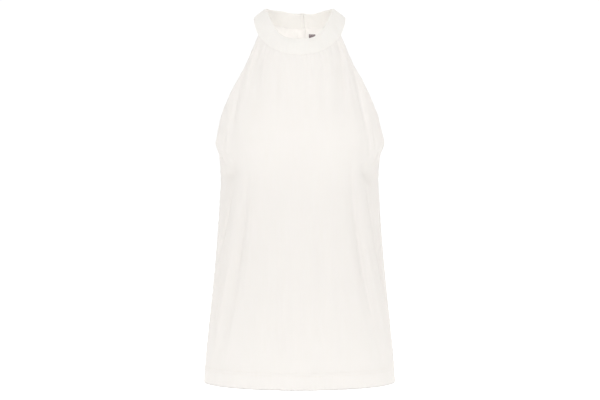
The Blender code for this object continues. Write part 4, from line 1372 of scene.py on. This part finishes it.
def button_mesh():
    """A turned disc whose dished middle is bridged to the rims of four round holes."""
    form = bmesh.new()
    rings = [ring_of_points(form, 0, 0, point.radius, point.height, BUTTON_SIDES)
             for point in BUTTON_PROFILE]
    for upper, lower in zip(rings, rings[1:]):
        join_rings(form, upper, lower)
    levels = (BUTTON_PROFILE[0].height, BUTTON_PROFILE[-1].height)
    borders = [[rings[0]], [rings[-1]]]
    for x in (-BUTTON_HOLE_CENTRE, BUTTON_HOLE_CENTRE):
        for y in (-BUTTON_HOLE_CENTRE, BUTTON_HOLE_CENTRE):
            hole = [ring_of_points(form, x, y, BUTTON_HOLE_RADIUS, level, BUTTON_HOLE_SIDES)
                    for level in levels]
            join_rings(form, hole[1], hole[0])
            for border, ring in zip(borders, hole):
                border.append(ring)
    for border in borders:
        edges = [form.edges.get((ring[i - 1], ring[i])) for ring in border for i in range(len(ring))]
        bmesh.ops.triangle_fill(form, use_beauty=True, use_dissolve=False, edges=edges)
    bmesh.ops.recalc_face_normals(form, faces=form.faces)
    return form


form = button_mesh()
seat = button_seat + outward * BUTTON_LIFT
turn = Matrix((aside, up, outward)).transposed().to_4x4()
to_row = Matrix.Translation(Vector(placed(seat))) @ turn @ Matrix.Scale(MM, 4)
bmesh.ops.transform(form, matrix=to_row, verts=form.verts)
button_shape = mesh_from(form, "button_resin", resin)
button_shape.shade_smooth()
button_shape.set_sharp_from_angle(angle=np.radians(BUTTON_EDGE))
button = add_object("button_resin", button_shape)
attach(button, "root")
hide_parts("button")

cross_rows, cross_lays = [], []
for slant in (-1, 1):
    along = (aside + slant * up) / np.sqrt(2)
    for strand in STRANDS:
        centre = seat + outward * STRAND_HEIGHT + np.cross(along, outward) * strand
        cross_rows.append(np.stack([centre + along * place for place in STRAND_PATH]))
        cross_lays.append(np.stack([along, along]))
cross = stitched("button_thread", cross_rows, 1, STRAND_LENGTH, STRAND_RADIUS, cross_lays)
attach(cross, "root")

# ----------------------------------------------------------------------
# Label. A short plain length of mauve satin tape, laid flat inside the back below the band and sewn
# down along its upper edge.
LABEL_LEFT = -27.5
LABEL_RIGHT = -16.3
LABEL_TOP_HEIGHT = 580.8
LABEL_LENGTH = 32
LABEL_THICKNESS = 0.35
LABEL_ROWS = 40
LABEL_COLUMNS = 16
LABEL_STITCH_ROW = -3  # which of them, from the top
LABEL_STITCH_PITCH = 1.9
LABEL_STITCH_LENGTH = 1.6
LABEL_STITCH_RADIUS = 0.16
LABEL_RIB = 0.7  # real satin ribs are 0.2 mm; drawn coarser, to show
LABEL_RIB_RISE = 0.06
MAUVE_SATIN = "#7A6C70"
MAUVE_SATIN_SHADE = "#6A5D61"

# Satin's long floats shine along the tape, over fine cross ribs.
satin, satin_tree, satin_shader = add_material(
    "woven_satin_tape", {"Roughness": 0.45, "Sheen Weight": 0.2})
satin_place = add_node(satin_tree, "ShaderNodeUVMap", uv_map="cloth")
rib_scale = 2 * np.pi / (20 * LABEL_RIB * MM)  # a wave texture repeats 20 times in 2 pi units
ribs = add_node(satin_tree, "ShaderNodeTexWave",
                {"Vector": satin_place, "Scale": rib_scale, "Distortion": 0.4}, bands_direction="Y")
satin_tint = add_node(
    satin_tree, "ShaderNodeMix",
    {0: ribs.outputs[1], 6: linear(MAUVE_SATIN_SHADE), 7: linear(MAUVE_SATIN)}, data_type="RGBA")
satin_tree.links.new(satin_tint.outputs[2], satin_shader.inputs["Base Color"])
rib_bump = add_node(satin_tree, "ShaderNodeBump",
                    {"Strength": 0.4, "Distance": LABEL_RIB_RISE * MM, "Height": ribs.outputs[1]})
satin_tree.links.new(rib_bump.outputs[0], satin_shader.inputs["Normal"])

heights = np.linspace(LABEL_TOP_HEIGHT - LABEL_LENGTH, LABEL_TOP_HEIGHT, LABEL_ROWS)
columns = np.linspace(LABEL_LEFT, LABEL_RIGHT, LABEL_COLUMNS)
height, across = np.meshgrid(heights, columns, indexing="ij")
share = share_at(back_form, across, height)
points, away = on_cloth(back_form, share, height, np.zeros(share.shape, bool), inside=True)
label, face = laid_strip("label_satin", points, away, LABEL_THICKNESS,
                         np.stack([across, height], axis=-1), satin)
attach(label, "root")
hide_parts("label")

label_stitches = stitched("label_stitches", [face[LABEL_STITCH_ROW, 1:-1]], LABEL_STITCH_PITCH,
                          LABEL_STITCH_LENGTH, LABEL_STITCH_RADIUS)
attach(label_stitches, "root")
